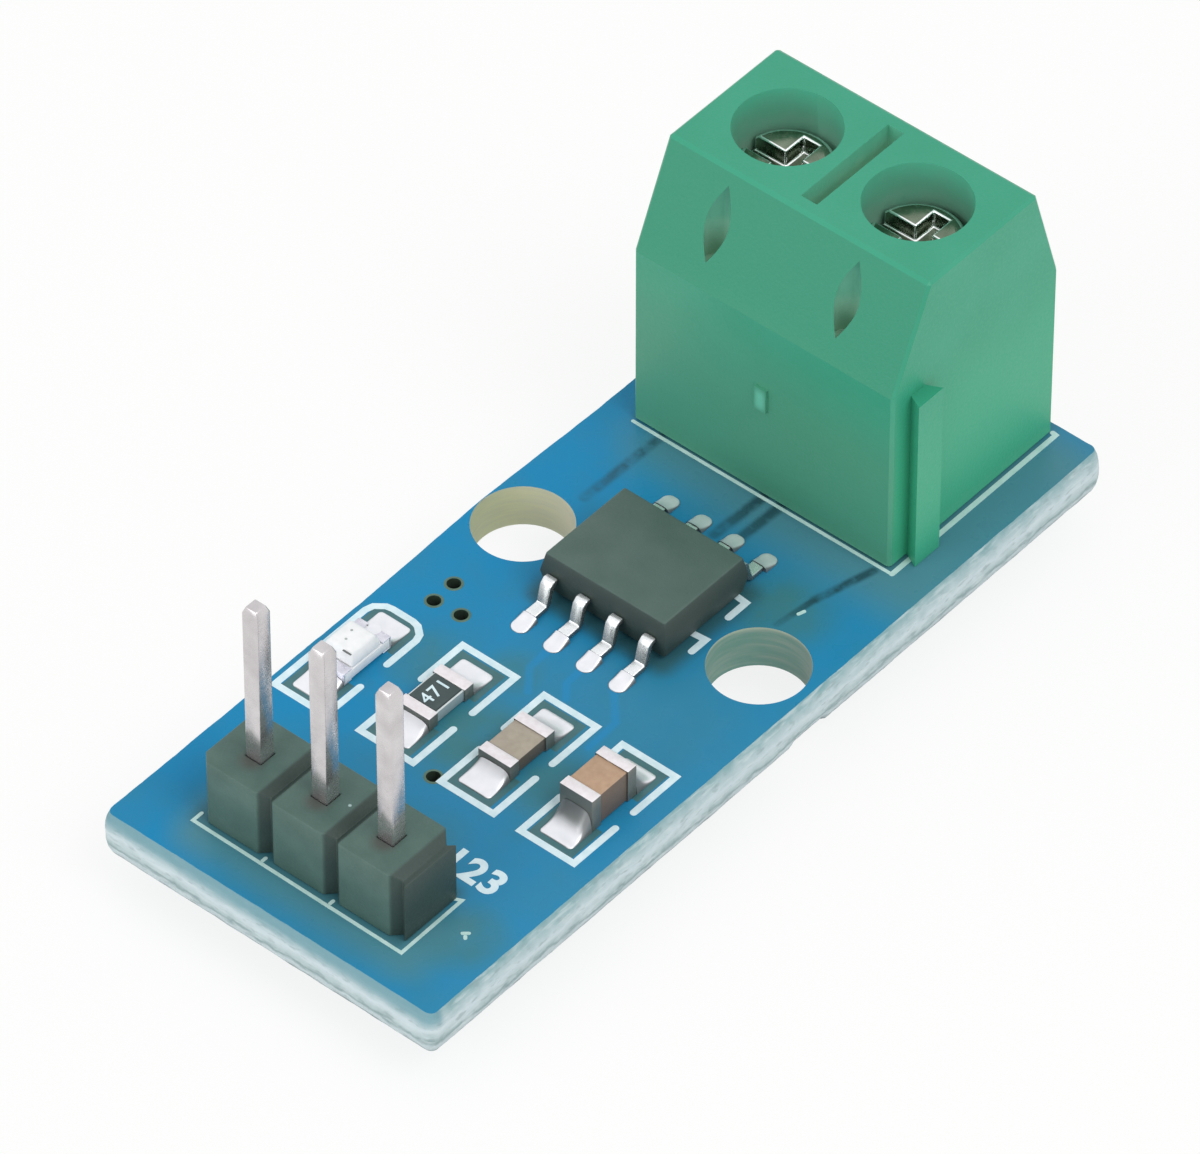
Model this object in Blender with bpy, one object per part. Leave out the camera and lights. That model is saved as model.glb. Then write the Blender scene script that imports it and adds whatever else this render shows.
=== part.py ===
"""Current sensor module: a small circuit board with a pin header, a few chip parts,
an eight-lead sensor chip and a two-pole screw terminal with rising clamp cages.

Lengths are in millimetres up to new_object, which turns them into metres.
X runs across the board, Y from the header end to the terminal end, Z up.
The origin lies under the middle of the board, at the ends of the solder tails.
"""

import math

import bmesh
import bpy
from mathutils import Matrix, Vector

MM = 0.001
SIDES = ("left", "right")

# Clearances, and how far cutters and joined pieces reach past a face
SEAT = 0.015
SLIDE = 0.06
CUT = 1.0

# Circuit board, snapped out of a V-scored panel
BOARD_WIDTH = 13.0
BOARD_LENGTH = 31.0
BOARD_THICKNESS = 1.6
SCORE_INSET = 0.18
SCORE_DEPTH = 0.5
CORNER_CUT = 0.3
TAIL_LENGTH = 1.4
PATTERN_SHIFT = -0.2
HOLE_DIAMETER = 3.2
LEFT_HOLE_INSET = 1.70
RIGHT_HOLE_INSET = 2.10
HOLE_Y = 1.64
VIA_DIAMETER = 0.45
VIA_SPOTS = ((-4.72, -1.61), (-4.70, -2.54), (-3.69, -2.47), (0.06, -8.04))

# Pin header
PIN_COUNT = 3
PIN_PITCH = 2.54
PIN_SIZE = 0.6
PIN_TIP = 0.25
PIN_TIP_SIZE = 0.42
PIN_ABOVE = 6.1
HEADER_HEIGHT = 2.54
HEADER_DEPTH = 2.54
HEADER_CHAMFER = 0.32
HEADER_NOTCH = 0.28
HEADER_STUB = 0.2
HEADER_INSET = 3.04
HEADER_HOLE = 1.0
SOLDER_CONE = 0.85
SOLDER_RIM = 0.08
SOLDER_LEVELS = 5
HEADER_SOLDER_REACH = 0.55
TERMINAL_SOLDER_REACH = 0.65

# Row of chip parts between the header and the sensor chip
ROW_INSET = 9.75
LED_ROW_INSET = 9.6
LED_EDGE = 1.5
CAPACITOR_EDGE = 2.05
CHIP_PART_LENGTH = 2.0
CHIP_PART_WIDTH = 1.25
CHIP_END_LENGTH = 0.4
CHIP_END_PLATE = 0.04
RESISTOR_HEIGHT = 0.5
LOW_CAPACITOR_HEIGHT = 0.6
TALL_CAPACITOR_HEIGHT = 1.25
FILLET_LENGTH = 0.95
FILLET_CLIMB = 0.62

# Light-emitting diode
LED_BASE_HEIGHT = 0.35
LED_LENS_HEIGHT = 0.45
LED_LENS_GAP = 0.025
LED_LENS_DRAFT = 0.1
LED_LENS_CROWN = 0.3
LED_END_LENGTH = 0.3
LED_END_PLATE = 0.04
LED_NOTCH_RADIUS = 0.25
LED_NOTCH_STEPS = 8

# Sensor chip in an eight-lead gull-wing body
CHIP_SHIFT_X = 0.07
CHIP_Y = 1.75
CHIP_LENGTH = 4.9
CHIP_WIDTH = 3.9
CHIP_BODY_HEIGHT = 1.45
CHIP_STANDOFF = 0.18
CHIP_DRAFT = 0.14
LEAD_PITCH = 1.27
LEADS_PER_SIDE = 4
LEAD_WIDTH = 0.42
LEAD_THICKNESS = 0.2
LEAD_SPAN = 6.0
LEAD_FOOT = 0.62
LEAD_LEAN = 0.16
LEAD_BEND = 0.1
LEAD_TOE_FILLET = 0.7
LEAD_PAD_WIDTH = 0.62

# Screw terminal housing
POLE_COUNT = 2
POLE_PITCH = 5.0
TERMINAL_DEPTH = 7.75
TERMINAL_HEIGHT = 10.6
TERMINAL_INSET = 0.53
BACK_BEND = 7.0
FRONT_BEND = 6.8
BACK_SLOPE = 1.6
FRONT_SLOPE = 1.15
HOUSING_EDGE = 0.1
BORE_DIAMETER = 3.4
BORE_DEPTH = 2.85
SHOULDER = 0.95
NECK_DIAMETER = 2.8
CELL_WIDTH = 3.9
SLOT_WIDTH = 0.62
SLOT_LENGTH = 4.05
SLOT_DEPTH = 1.6
LEAF_WIDTH = 0.86
LEAF_LENGTH = 1.06
LEAF_STEPS = 10
LEAF_DEPTH = 3.2
LEAF_SETBACK = 0.87
RIB_SETBACK = 1.17
RIB_OUT = 0.5
RIB_ROOT = 0.64
RIB_FACE = 1.14
RIB_HEIGHT = 6.6
GROOVE_PLAY = 0.08
NUB_WIDTH = 0.45
NUB_HEIGHT = 0.9
NUB_OUT = 0.1
NUB_Z = 4.0
ENTRY_WIDTH = 3.5
ENTRY_FLARE = 0.35
ENTRY_DEPTH = 1.0

# Clamp cage, its screw and the fixed contact that runs through it
CAGE_WIDTH = 3.6
CAGE_DEPTH = 3.4
CAGE_WALL = 0.5
CAGE_FLOOR = 0.6
CAGE_TOP = 0.9
CAGE_EDGE = 0.25
CAGE_FLOOR_GAP = 0.35
SCREW_PITCH = 0.45
SCREW_TURNS = 4.5
SCREW_DIAMETER = 2.4
SCREW_HEAD_DIAMETER = 3.1
SCREW_HEAD_HEIGHT = 1.45
SCREW_HEAD_EDGE = 0.15
DRIVE_WIDTH = 0.6
DRIVE_DEPTH = 0.6
CROSS_LENGTH = 2.3
BAR_WIDTH = 2.4
BAR_THICKNESS = 0.7
BAR_BEND = 0.45
BAR_BEND_STEPS = 4
BAR_END_GAP = 0.1
SOLDER_PIN_WIDTH = 0.9
PIN_HOLE_PLAY = 0.25

# Places that follow from the sizes above
BOARD_BOTTOM = TAIL_LENGTH
BOARD_TOP = BOARD_BOTTOM + BOARD_THICKNESS
HEADER_Y = -BOARD_LENGTH / 2 + HEADER_INSET
HEADER_TOP = BOARD_TOP + SEAT + HEADER_HEIGHT
PIN_TOP = HEADER_TOP + PIN_ABOVE
ROW_Y = -BOARD_LENGTH / 2 + ROW_INSET
LED_Y = -BOARD_LENGTH / 2 + LED_ROW_INSET
LED_X = -BOARD_WIDTH / 2 + LED_EDGE
TALL_CAPACITOR_X = BOARD_WIDTH / 2 - CAPACITOR_EDGE
ROW_STEP = (TALL_CAPACITOR_X - LED_X) / 3
CHIP_X = PATTERN_SHIFT + CHIP_SHIFT_X
TERMINAL_WIDTH = POLE_COUNT * POLE_PITCH
TERMINAL_FRONT = BOARD_LENGTH / 2 - TERMINAL_INSET
TERMINAL_BACK = TERMINAL_FRONT - TERMINAL_DEPTH
TERMINAL_BASE = BOARD_TOP + SEAT
TERMINAL_TOP = TERMINAL_BASE + TERMINAL_HEIGHT
SCREW_Y = (TERMINAL_BACK + BACK_SLOPE + TERMINAL_FRONT - FRONT_SLOPE) / 2
BORE_FLOOR = TERMINAL_TOP - BORE_DEPTH
CELL_TOP = BORE_FLOOR - SHOULDER
CAGE_TRAVEL = SCREW_PITCH * SCREW_TURNS
CAGE_WINDOW = CAGE_TRAVEL + BAR_THICKNESS + 2 * SLIDE
CAGE_HEIGHT = CAGE_FLOOR + CAGE_WINDOW + CAGE_TOP
CAGE_BOTTOM = TERMINAL_BASE + CAGE_FLOOR_GAP
BAR_TOP = CAGE_BOTTOM + CAGE_FLOOR + CAGE_WINDOW - SLIDE
LEG_Y = SCREW_Y - CAGE_DEPTH / 2 - SLIDE * 2 - BAR_THICKNESS / 2
CELL_BACK = LEG_Y - BAR_THICKNESS / 2 - SEAT
CELL_FRONT = SCREW_Y + CAGE_DEPTH / 2 + 2 * SLIDE
ENTRY_BOTTOM = CAGE_BOTTOM + CAGE_FLOOR
ENTRY_TOP = BAR_TOP + SLIDE

# Outlines of round parts
ROUND_STEPS = 40
SMALL_STEPS = 20
VIA_STEPS = 12


def header_pin_xs():
    middle = (PIN_COUNT - 1) / 2
    return [PATTERN_SHIFT + (i - middle) * PIN_PITCH for i in range(PIN_COUNT)]


def pole_xs():
    middle = (POLE_COUNT - 1) / 2
    return [PATTERN_SHIFT + (i - middle) * POLE_PITCH for i in range(POLE_COUNT)]


# Materials

def material(name, colour, roughness, metallic=0.0):
    made = bpy.data.materials.new(name)
    made.use_nodes = True
    shader = made.node_tree.nodes["Principled BSDF"]
    shader.inputs["Base Color"].default_value = (*colour, 1.0)
    shader.inputs["Roughness"].default_value = roughness
    shader.inputs["Metallic"].default_value = metallic
    made.diffuse_color = (*colour, 1.0)
    return made


def make_materials():
    return {
        "board": material("solder_mask_board", (0.03, 0.22, 0.45), 0.35),
        "housing": material("green_nylon", (0.06, 0.40, 0.24), 0.45),
        "black": material("black_moulding", (0.06, 0.09, 0.07), 0.5),
        "pin": material("tinned_pin", (0.72, 0.66, 0.66), 0.35, 1.0),
        "steel": material("plated_steel", (0.62, 0.62, 0.60), 0.3, 1.0),
        "brass": material("tinned_brass", (0.68, 0.64, 0.55), 0.3, 1.0),
        "solder": material("solder", (0.78, 0.78, 0.80), 0.25, 1.0),
        "end": material("tinned_end", (0.78, 0.76, 0.76), 0.35, 0.9),
        "ceramic": material("white_ceramic", (0.75, 0.77, 0.76), 0.5),
        "grey_tan": material("grey_tan_ceramic", (0.42, 0.35, 0.26), 0.5),
        "orange_tan": material("orange_tan_ceramic", (0.48, 0.30, 0.17), 0.5),
        "lens": material("white_resin", (0.85, 0.87, 0.84), 0.35),
    }


# Mesh builders, all in millimetres

def new_object(name, shape, made_of=None, place=(0, 0, 0)):
    bmesh.ops.recalc_face_normals(shape, faces=shape.faces)
    bmesh.ops.scale(shape, vec=Vector((MM, MM, MM)), verts=shape.verts)
    mesh = bpy.data.meshes.new(name)
    shape.to_mesh(mesh)
    shape.free()
    made = bpy.data.objects.new(name, mesh)
    bpy.context.scene.collection.objects.link(made)
    made.location = Vector(place) * MM
    if made_of:
        mesh.materials.append(made_of)
    return made


def box(low, high):
    shape = bmesh.new()
    low, high = Vector(low), Vector(high)
    spot = Matrix.Translation((low + high) / 2)
    size = high - low
    bmesh.ops.create_cube(shape, size=1.0, matrix=spot @ Matrix.Diagonal((*size, 1.0)))
    return shape


def loft(rings):
    """One closed body through rings that hold the same number of points."""
    shape = bmesh.new()
    made = [[shape.verts.new(point) for point in ring] for ring in rings]
    count = len(rings[0])
    for lower, upper in zip(made, made[1:]):
        for i in range(count):
            after = (i + 1) % count
            shape.faces.new((lower[i], lower[after], upper[after], upper[i]))
    shape.faces.new(reversed(made[0]))
    shape.faces.new(made[-1])
    return shape


def rectangle(x, y, width, depth, z):
    return [
        (x - width / 2, y - depth / 2, z),
        (x + width / 2, y - depth / 2, z),
        (x + width / 2, y + depth / 2, z),
        (x - width / 2, y + depth / 2, z),
    ]


def circle(x, y, radius, z, steps):
    turn = 2 * math.pi / steps
    return [
        (x + radius * math.cos(i * turn), y + radius * math.sin(i * turn), z)
        for i in range(steps)
    ]


def round_bar(x, y, radius, low, high, steps=ROUND_STEPS):
    return loft([circle(x, y, radius, z, steps) for z in (low, high)])


def extrude_z(outline, low, high):
    return loft([[(x, y, z) for x, y in outline] for z in (low, high)])


def extrude_x(outline, low, high):
    """Outline points are (y, z)."""
    return loft([[(x, y, z) for y, z in outline] for x in (low, high)])


def boolean(target, tool, operation):
    tool.hide_render = True
    tool.display_type = "WIRE"
    step = target.modifiers.new(tool.name, "BOOLEAN")
    step.operation = operation
    step.solver = "EXACT"
    step.object = tool


def cut(target, name, shape):
    boolean(target, new_object("cutter_" + name, shape), "DIFFERENCE")


def join(target, name, shape):
    boolean(target, new_object("joined_" + name, shape), "UNION")


def shade_round(made, angle=35):
    made.data.shade_smooth()
    made.data.set_sharp_from_angle(angle=math.radians(angle))


def bevel(made, width, segments=1):
    step = made.modifiers.new("edge", "BEVEL")
    step.width = width * MM
    step.segments = segments
    step.limit_method = "ANGLE"
    step.angle_limit = math.radians(30)


# Circuit board

def board_outline(inset):
    """Rectangle with its corners cut, drawn in by inset."""
    x = BOARD_WIDTH / 2 - inset
    y = BOARD_LENGTH / 2 - inset
    c = CORNER_CUT
    return [
        (-x + c, -y), (x - c, -y), (x, -y + c), (x, y - c),
        (x - c, y), (-x + c, y), (-x, y - c), (-x, -y + c),
    ]


def board_ring(inset, z):
    return [(x, y, z) for x, y in board_outline(inset)]


def cut_board_hole(board, name, x, y, diameter, steps):
    low, high = BOARD_BOTTOM - CUT, BOARD_TOP + CUT
    cut(board, name, round_bar(x, y, diameter / 2, low, high, steps))


def mounting_hole_xs():
    return (-BOARD_WIDTH / 2 + LEFT_HOLE_INSET, BOARD_WIDTH / 2 - RIGHT_HOLE_INSET)


def terminal_hole_diameter():
    return math.hypot(SOLDER_PIN_WIDTH, BAR_THICKNESS) + PIN_HOLE_PLAY


def make_board(made_of):
    rings = [
        board_ring(SCORE_INSET, BOARD_BOTTOM),
        board_ring(0, BOARD_BOTTOM + SCORE_DEPTH),
        board_ring(0, BOARD_TOP - SCORE_DEPTH),
        board_ring(SCORE_INSET, BOARD_TOP),
    ]
    board = new_object("circuit_board", loft(rings), made_of)
    for side, x in zip(("left", "right"), mounting_hole_xs()):
        cut_board_hole(board, "mounting_hole_" + side, x, HOLE_Y, HOLE_DIAMETER, ROUND_STEPS)
    for i, x in enumerate(header_pin_xs()):
        cut_board_hole(board, f"header_hole_{i + 1}", x, HEADER_Y, HEADER_HOLE, SMALL_STEPS)
    for i, x in enumerate(pole_xs()):
        diameter = terminal_hole_diameter()
        cut_board_hole(board, f"terminal_hole_{i + 1}", x, LEG_Y, diameter, SMALL_STEPS)
    for i, (x, y) in enumerate(VIA_SPOTS):
        cut_board_hole(board, f"via_{i + 1}", x, y, VIA_DIAMETER, VIA_STEPS)


# Pin header

def header_outline():
    """Plan of the snapped strip: a section for each pin, then the stub of the next."""
    half = HEADER_DEPTH / 2
    c = HEADER_CHAMFER
    start = header_pin_xs()[0] - PIN_PITCH / 2
    front = []
    for i in range(PIN_COUNT):
        low, high = start + i * PIN_PITCH, start + (i + 1) * PIN_PITCH
        front += [(low, half - c), (low + c, half), (high - c, half)]
    end = start + PIN_COUNT * PIN_PITCH
    front += [(end, half - c), (end + HEADER_STUB, half - c + HEADER_STUB)]
    near = [(x, HEADER_Y - y) for x, y in front]
    far = [(x, HEADER_Y + y) for x, y in reversed(front)]
    return near + far


def make_header(made_of):
    base = BOARD_TOP + SEAT
    header = new_object("header_base", extrude_z(header_outline(), base, HEADER_TOP), made_of)
    hole = PIN_SIZE + 2 * SEAT
    for i, x in enumerate(header_pin_xs()):
        low, high = base - CUT, HEADER_TOP + CUT
        shape = loft([rectangle(x, HEADER_Y, hole, hole, z) for z in (low, high)])
        cut(header, f"pin_seat_{i + 1}", shape)
    reach = HEADER_DEPTH / 2 + CUT
    bottom, top = HEADER_TOP - HEADER_NOTCH, HEADER_TOP + HEADER_NOTCH
    for i, x in enumerate(header_pin_xs()):
        middle = x + PIN_PITCH / 2
        left, right = middle - 2 * HEADER_NOTCH, middle + 2 * HEADER_NOTCH
        outline = [(middle, bottom), (right, top), (left, top)]
        if i == PIN_COUNT - 1:
            # the stub broke off level with the bottom of its notch
            outline.insert(1, (right, bottom))
        rings = [[(px, HEADER_Y + y, pz) for px, pz in outline] for y in (-reach, reach)]
        cut(header, f"notch_{i + 1}", loft(rings))


def make_header_pins(made_of):
    for i, x in enumerate(header_pin_xs()):
        sections = (
            (0, PIN_TIP_SIZE),
            (PIN_TIP, PIN_SIZE),
            (PIN_TOP - PIN_TIP, PIN_SIZE),
            (PIN_TOP, PIN_TIP_SIZE),
        )
        rings = [rectangle(x, HEADER_Y, size, size, z) for z, size in sections]
        new_object(f"header_pin_{i + 1}", loft(rings), made_of)


def solder_cone(x, y, width, depth, reach):
    """Fillet that hangs from the board's underside round a square tail."""
    top = BOARD_BOTTOM - SEAT
    radius = reach + max(width, depth) / 2
    neck = math.hypot(width, depth) / 2 + SOLDER_RIM
    rings = []
    for i in range(SOLDER_LEVELS + 1):
        share = i / SOLDER_LEVELS
        ring_radius = neck + (radius - neck) * share ** 2
        rings.append(circle(x, y, ring_radius, top - SOLDER_CONE * (1 - share), SMALL_STEPS))
    play = 2 * SEAT
    ends = (top - SOLDER_CONE - CUT, top + CUT)
    hole = loft([rectangle(x, y, width + play, depth + play, z) for z in ends])
    return loft(rings), hole


def make_tail_solder(made_of):
    for i, x in enumerate(header_pin_xs()):
        cone, hole = solder_cone(x, HEADER_Y, PIN_SIZE, PIN_SIZE, HEADER_SOLDER_REACH)
        joint = new_object(f"header_solder_{i + 1}", cone, made_of)
        cut(joint, f"header_tail_{i + 1}", hole)
    for side, x in zip(SIDES, pole_xs()):
        width, depth = SOLDER_PIN_WIDTH, BAR_THICKNESS
        cone, hole = solder_cone(x, LEG_Y, width, depth, TERMINAL_SOLDER_REACH)
        joint = new_object(f"terminal_solder_{side}", cone, made_of)
        cut(joint, f"terminal_tail_{side}", hole)


# Chip resistor, chip capacitors and diode

def make_end_caps(name, x, y, height, made_of):
    """Tinned caps that wrap the two ends of a chip part on five sides."""
    plate = CHIP_END_PLATE
    base = BOARD_TOP + SEAT
    for side, sign in (("near", -1), ("far", 1)):
        outer = y + sign * CHIP_PART_LENGTH / 2
        inner = outer - sign * CHIP_END_LENGTH
        half = CHIP_PART_WIDTH / 2
        low = (x - half, min(outer, inner), base)
        high = (x + half, max(outer, inner), base + height)
        end = new_object(f"{name}_end_{side}", box(low, high), made_of)
        bottom = outer - sign * plate
        mouth = inner - sign * CUT
        play = half - plate + SEAT
        low = (x - play, min(bottom, mouth), base + plate - SEAT)
        high = (x + play, max(bottom, mouth), base + height - plate + SEAT)
        cut(end, f"{name}_pocket_{side}", box(low, high))


def make_chip_part(name, x, y, height, body_material, end_material):
    plate = CHIP_END_PLATE
    half = CHIP_PART_WIDTH / 2 - plate
    length = CHIP_PART_LENGTH / 2 - plate - SEAT
    base = BOARD_TOP + SEAT + plate
    low = (x - half, y - length, base)
    high = (x + half, y + length, base + height - 2 * plate)
    new_object(f"{name}_body", box(low, high), body_material)
    make_end_caps(name, x, y, height, end_material)


def fillet_outline(toe, heel, height):
    """Concave solder slope from the pad at toe up to height at heel, as (y, z)."""
    base = BOARD_TOP + SEAT
    outline = [(heel, base), (toe, base)]
    climb = height - SOLDER_RIM
    for i in range(SOLDER_LEVELS + 1):
        share = i / SOLDER_LEVELS
        outline.append((toe + (heel - toe) * share, base + SOLDER_RIM + climb * share ** 2))
    return outline


def make_end_solder(name, x, y, length, width, height, made_of):
    for side, sign in (("near", -1), ("far", 1)):
        heel = y + sign * (length / 2 + SEAT)
        toe = heel + sign * FILLET_LENGTH
        outline = fillet_outline(toe, heel, height * FILLET_CLIMB)
        shape = extrude_x(outline, x - width / 2, x + width / 2)
        new_object(f"{name}_solder_{side}", shape, made_of)


def led_base_outline():
    """Plan with a half-moon notch in each end."""
    half = CHIP_PART_WIDTH / 2
    end = CHIP_PART_LENGTH / 2
    arc = []
    for i in range(LED_NOTCH_STEPS + 1):
        angle = math.pi * i / LED_NOTCH_STEPS
        across = LED_NOTCH_RADIUS * math.cos(angle)
        along = LED_NOTCH_RADIUS * math.sin(angle)
        arc.append((-across, along - end))
    near = [(-half, -end)] + arc + [(half, -end)]
    far = [(-x, -y) for x, y in near]
    return near + far


def make_led(materials):
    base = BOARD_TOP + SEAT + LED_END_PLATE + SEAT
    top = base + LED_BASE_HEIGHT
    outline = [(LED_X + px, LED_Y + py) for px, py in led_base_outline()]
    new_object("led_base", extrude_z(outline, base, top), materials["ceramic"])
    lens_base = top + SEAT
    lens_top = lens_base + LED_LENS_HEIGHT
    levels = (
        (lens_base, 0),
        ((lens_base + lens_top) / 2, LED_LENS_DRAFT),
        (lens_top, LED_LENS_CROWN),
    )
    length = CHIP_PART_LENGTH - 2 * (LED_END_LENGTH + LED_LENS_GAP)
    rings = [
        rectangle(LED_X, LED_Y, CHIP_PART_WIDTH - inset, length - inset, z)
        for z, inset in levels
    ]
    new_object("led_lens", loft(rings), materials["lens"])
    make_led_ends(top, materials["end"])


def make_led_ends(base_top, made_of):
    """Wraps under and over each end of the diode's base, open at the half-moon."""
    plate = LED_END_PLATE
    low = BOARD_TOP + SEAT
    high = base_top + SEAT + plate
    for side, sign in (("near", -1), ("far", 1)):
        outer = LED_Y + sign * (CHIP_PART_LENGTH / 2 + SEAT + plate)
        inner = LED_Y + sign * (CHIP_PART_LENGTH / 2 - LED_END_LENGTH)
        half = CHIP_PART_WIDTH / 2
        corner_a = (LED_X - half, min(outer, inner), low)
        corner_b = (LED_X + half, max(outer, inner), high)
        end = new_object(f"led_end_{side}", box(corner_a, corner_b), made_of)
        middle = LED_Y + sign * (CHIP_PART_LENGTH / 2 + SEAT)
        mouth = inner - sign * CUT
        corner_a = (LED_X - half - CUT, min(middle, mouth), low + plate)
        corner_b = (LED_X + half + CUT, max(middle, mouth), high - plate)
        cut(end, f"led_pocket_{side}", box(corner_a, corner_b))
        notch_y = LED_Y + sign * CHIP_PART_LENGTH / 2
        radius = LED_NOTCH_RADIUS + SEAT
        shape = round_bar(LED_X, notch_y, radius, low - CUT, high + CUT, SMALL_STEPS)
        cut(end, f"led_moon_{side}", shape)


def make_chip_row(materials):
    make_led(materials)
    solder = materials["solder"]
    height = LED_END_PLATE + LED_BASE_HEIGHT
    length = CHIP_PART_LENGTH + 2 * (SEAT + LED_END_PLATE)
    make_end_solder("led", LED_X, LED_Y, length, CHIP_PART_WIDTH, height, solder)
    parts = (
        ("resistor", 1, RESISTOR_HEIGHT, "ceramic"),
        ("low_capacitor", 2, LOW_CAPACITOR_HEIGHT, "grey_tan"),
        ("tall_capacitor", 3, TALL_CAPACITOR_HEIGHT, "orange_tan"),
    )
    for name, column, height, body in parts:
        x = LED_X + column * ROW_STEP
        make_chip_part(name, x, ROW_Y, height, materials[body], materials["end"])
        make_end_solder(name, x, ROW_Y, CHIP_PART_LENGTH, CHIP_PART_WIDTH, height, solder)


# Sensor chip

def make_chip_body(made_of):
    base = BOARD_TOP + CHIP_STANDOFF
    levels = (
        (base, CHIP_DRAFT),
        (base + CHIP_BODY_HEIGHT / 2, 0),
        (base + CHIP_BODY_HEIGHT, CHIP_DRAFT),
    )
    rings = [
        rectangle(CHIP_X, CHIP_Y, CHIP_LENGTH - 2 * inset, CHIP_WIDTH - 2 * inset, z)
        for z, inset in levels
    ]
    new_object("chip_body", loft(rings), made_of)


def lead_path():
    """Middle line of a gull-wing lead as (distance from the body's side, height)."""
    shoulder = CHIP_STANDOFF + CHIP_BODY_HEIGHT / 2
    foot = SEAT + LEAD_THICKNESS / 2
    tip = (LEAD_SPAN - CHIP_WIDTH) / 2
    heel = tip - LEAD_FOOT
    knee = heel - LEAD_LEAN
    r = LEAD_BEND
    return [
        (SEAT, shoulder), (knee - r, shoulder), (knee, shoulder - r),
        (heel, foot + r), (heel + r, foot), (tip, foot),
    ]


def lead_outline():
    """Lead thickness laid off on both sides of its middle line."""
    path = [Vector(point) for point in lead_path()]
    upper, lower = [], []
    for i, point in enumerate(path):
        before = path[max(i - 1, 0)]
        after = path[min(i + 1, len(path) - 1)]
        along = (after - before).normalized()
        across = Vector((-along.y, along.x)) * LEAD_THICKNESS / 2
        upper.append(point + across)
        lower.append(point - across)
    return upper + lower[::-1]


def make_leads(materials):
    number = 0
    middle = (LEADS_PER_SIDE - 1) / 2
    for sign in (-1, 1):
        side = CHIP_Y + sign * CHIP_WIDTH / 2
        for i in range(LEADS_PER_SIDE):
            number += 1
            x = CHIP_X + (middle - i) * sign * LEAD_PITCH
            outline = [(side + sign * out, BOARD_TOP + z) for out, z in lead_outline()]
            shape = extrude_x(outline, x - LEAD_WIDTH / 2, x + LEAD_WIDTH / 2)
            new_object(f"chip_lead_{number}", shape, materials["pin"])
            heel = CHIP_Y + sign * (LEAD_SPAN / 2 + SEAT)
            toe = heel + sign * LEAD_TOE_FILLET
            slope = fillet_outline(toe, heel, LEAD_THICKNESS)
            shape = extrude_x(slope, x - LEAD_PAD_WIDTH / 2, x + LEAD_PAD_WIDTH / 2)
            new_object(f"chip_solder_{number}", shape, materials["solder"])


# Screw terminal

def housing_profile():
    """Side view as (y, z): upright walls, then a slope on each face up to the top."""
    return [
        (TERMINAL_BACK, TERMINAL_BASE),
        (TERMINAL_FRONT, TERMINAL_BASE),
        (TERMINAL_FRONT, TERMINAL_BASE + FRONT_BEND),
        (TERMINAL_FRONT - FRONT_SLOPE, TERMINAL_TOP),
        (TERMINAL_BACK + BACK_SLOPE, TERMINAL_TOP),
        (TERMINAL_BACK, TERMINAL_BASE + BACK_BEND),
    ]


def dovetail(x, play):
    """Plan of the interlocking rib at the wall plane x, pointing along +X."""
    y = TERMINAL_BACK + RIB_SETBACK
    root, face, out = RIB_ROOT / 2 + play, RIB_FACE / 2 + play, RIB_OUT + play
    return [
        (x - RIB_OUT, y - root), (x, y - root), (x + out, y - face),
        (x + out, y + face), (x, y + root), (x - RIB_OUT, y + root),
    ]


def add_rib_and_groove(housing):
    right = PATTERN_SHIFT + TERMINAL_WIDTH / 2
    left = PATTERN_SHIFT - TERMINAL_WIDTH / 2
    rib_top = TERMINAL_BASE + RIB_HEIGHT
    join(housing, "rib", extrude_z(dovetail(right, 0), TERMINAL_BASE, rib_top))
    groove_top = rib_top + GROOVE_PLAY
    groove = extrude_z(dovetail(left, GROOVE_PLAY), TERMINAL_BASE - CUT, groove_top)
    cut(housing, "groove", groove)


def add_gate_nub(housing):
    z = TERMINAL_BASE + NUB_Z
    low = (PATTERN_SHIFT - NUB_WIDTH / 2, TERMINAL_BACK - NUB_OUT, z - NUB_HEIGHT / 2)
    high = (PATTERN_SHIFT + NUB_WIDTH / 2, TERMINAL_BACK + NUB_WIDTH, z + NUB_HEIGHT / 2)
    join(housing, "gate_nub", box(low, high))


def cut_pole(housing, side, x):
    """Screw bore, neck, open-bottomed cell, wire entry and leaf recess of one pole."""
    bore = round_bar(x, SCREW_Y, BORE_DIAMETER / 2, BORE_FLOOR, TERMINAL_TOP + CUT)
    cut(housing, "bore_" + side, bore)
    neck = round_bar(x, SCREW_Y, NECK_DIAMETER / 2, CELL_TOP - CUT, BORE_FLOOR + CUT)
    cut(housing, "neck_" + side, neck)
    half = CELL_WIDTH / 2
    low = (x - half, CELL_BACK, TERMINAL_BASE - CUT)
    cut(housing, "cell_" + side, box(low, (x + half, CELL_FRONT, CELL_TOP)))
    cut(housing, "entry_" + side, wire_entry(x))
    leaf_y = TERMINAL_BACK + LEAF_SETBACK
    leaf_floor = TERMINAL_TOP - LEAF_DEPTH
    leaf = extrude_z(leaf_outline(x, leaf_y), leaf_floor, TERMINAL_TOP + CUT)
    cut(housing, "leaf_" + side, leaf)


def leaf_outline(x, y):
    """Plan of a recess that ends in a point towards the back and the front."""
    shares = [2 * i / LEAF_STEPS - 1 for i in range(LEAF_STEPS + 1)]
    edge = [
        (LEAF_WIDTH / 2 * math.cos(math.pi / 2 * share), LEAF_LENGTH / 2 * share)
        for share in shares
    ]
    right = [(x + px, y + py) for px, py in edge]
    left = [(x - px, y + py) for px, py in edge[-2:0:-1]]
    return right + left


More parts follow.
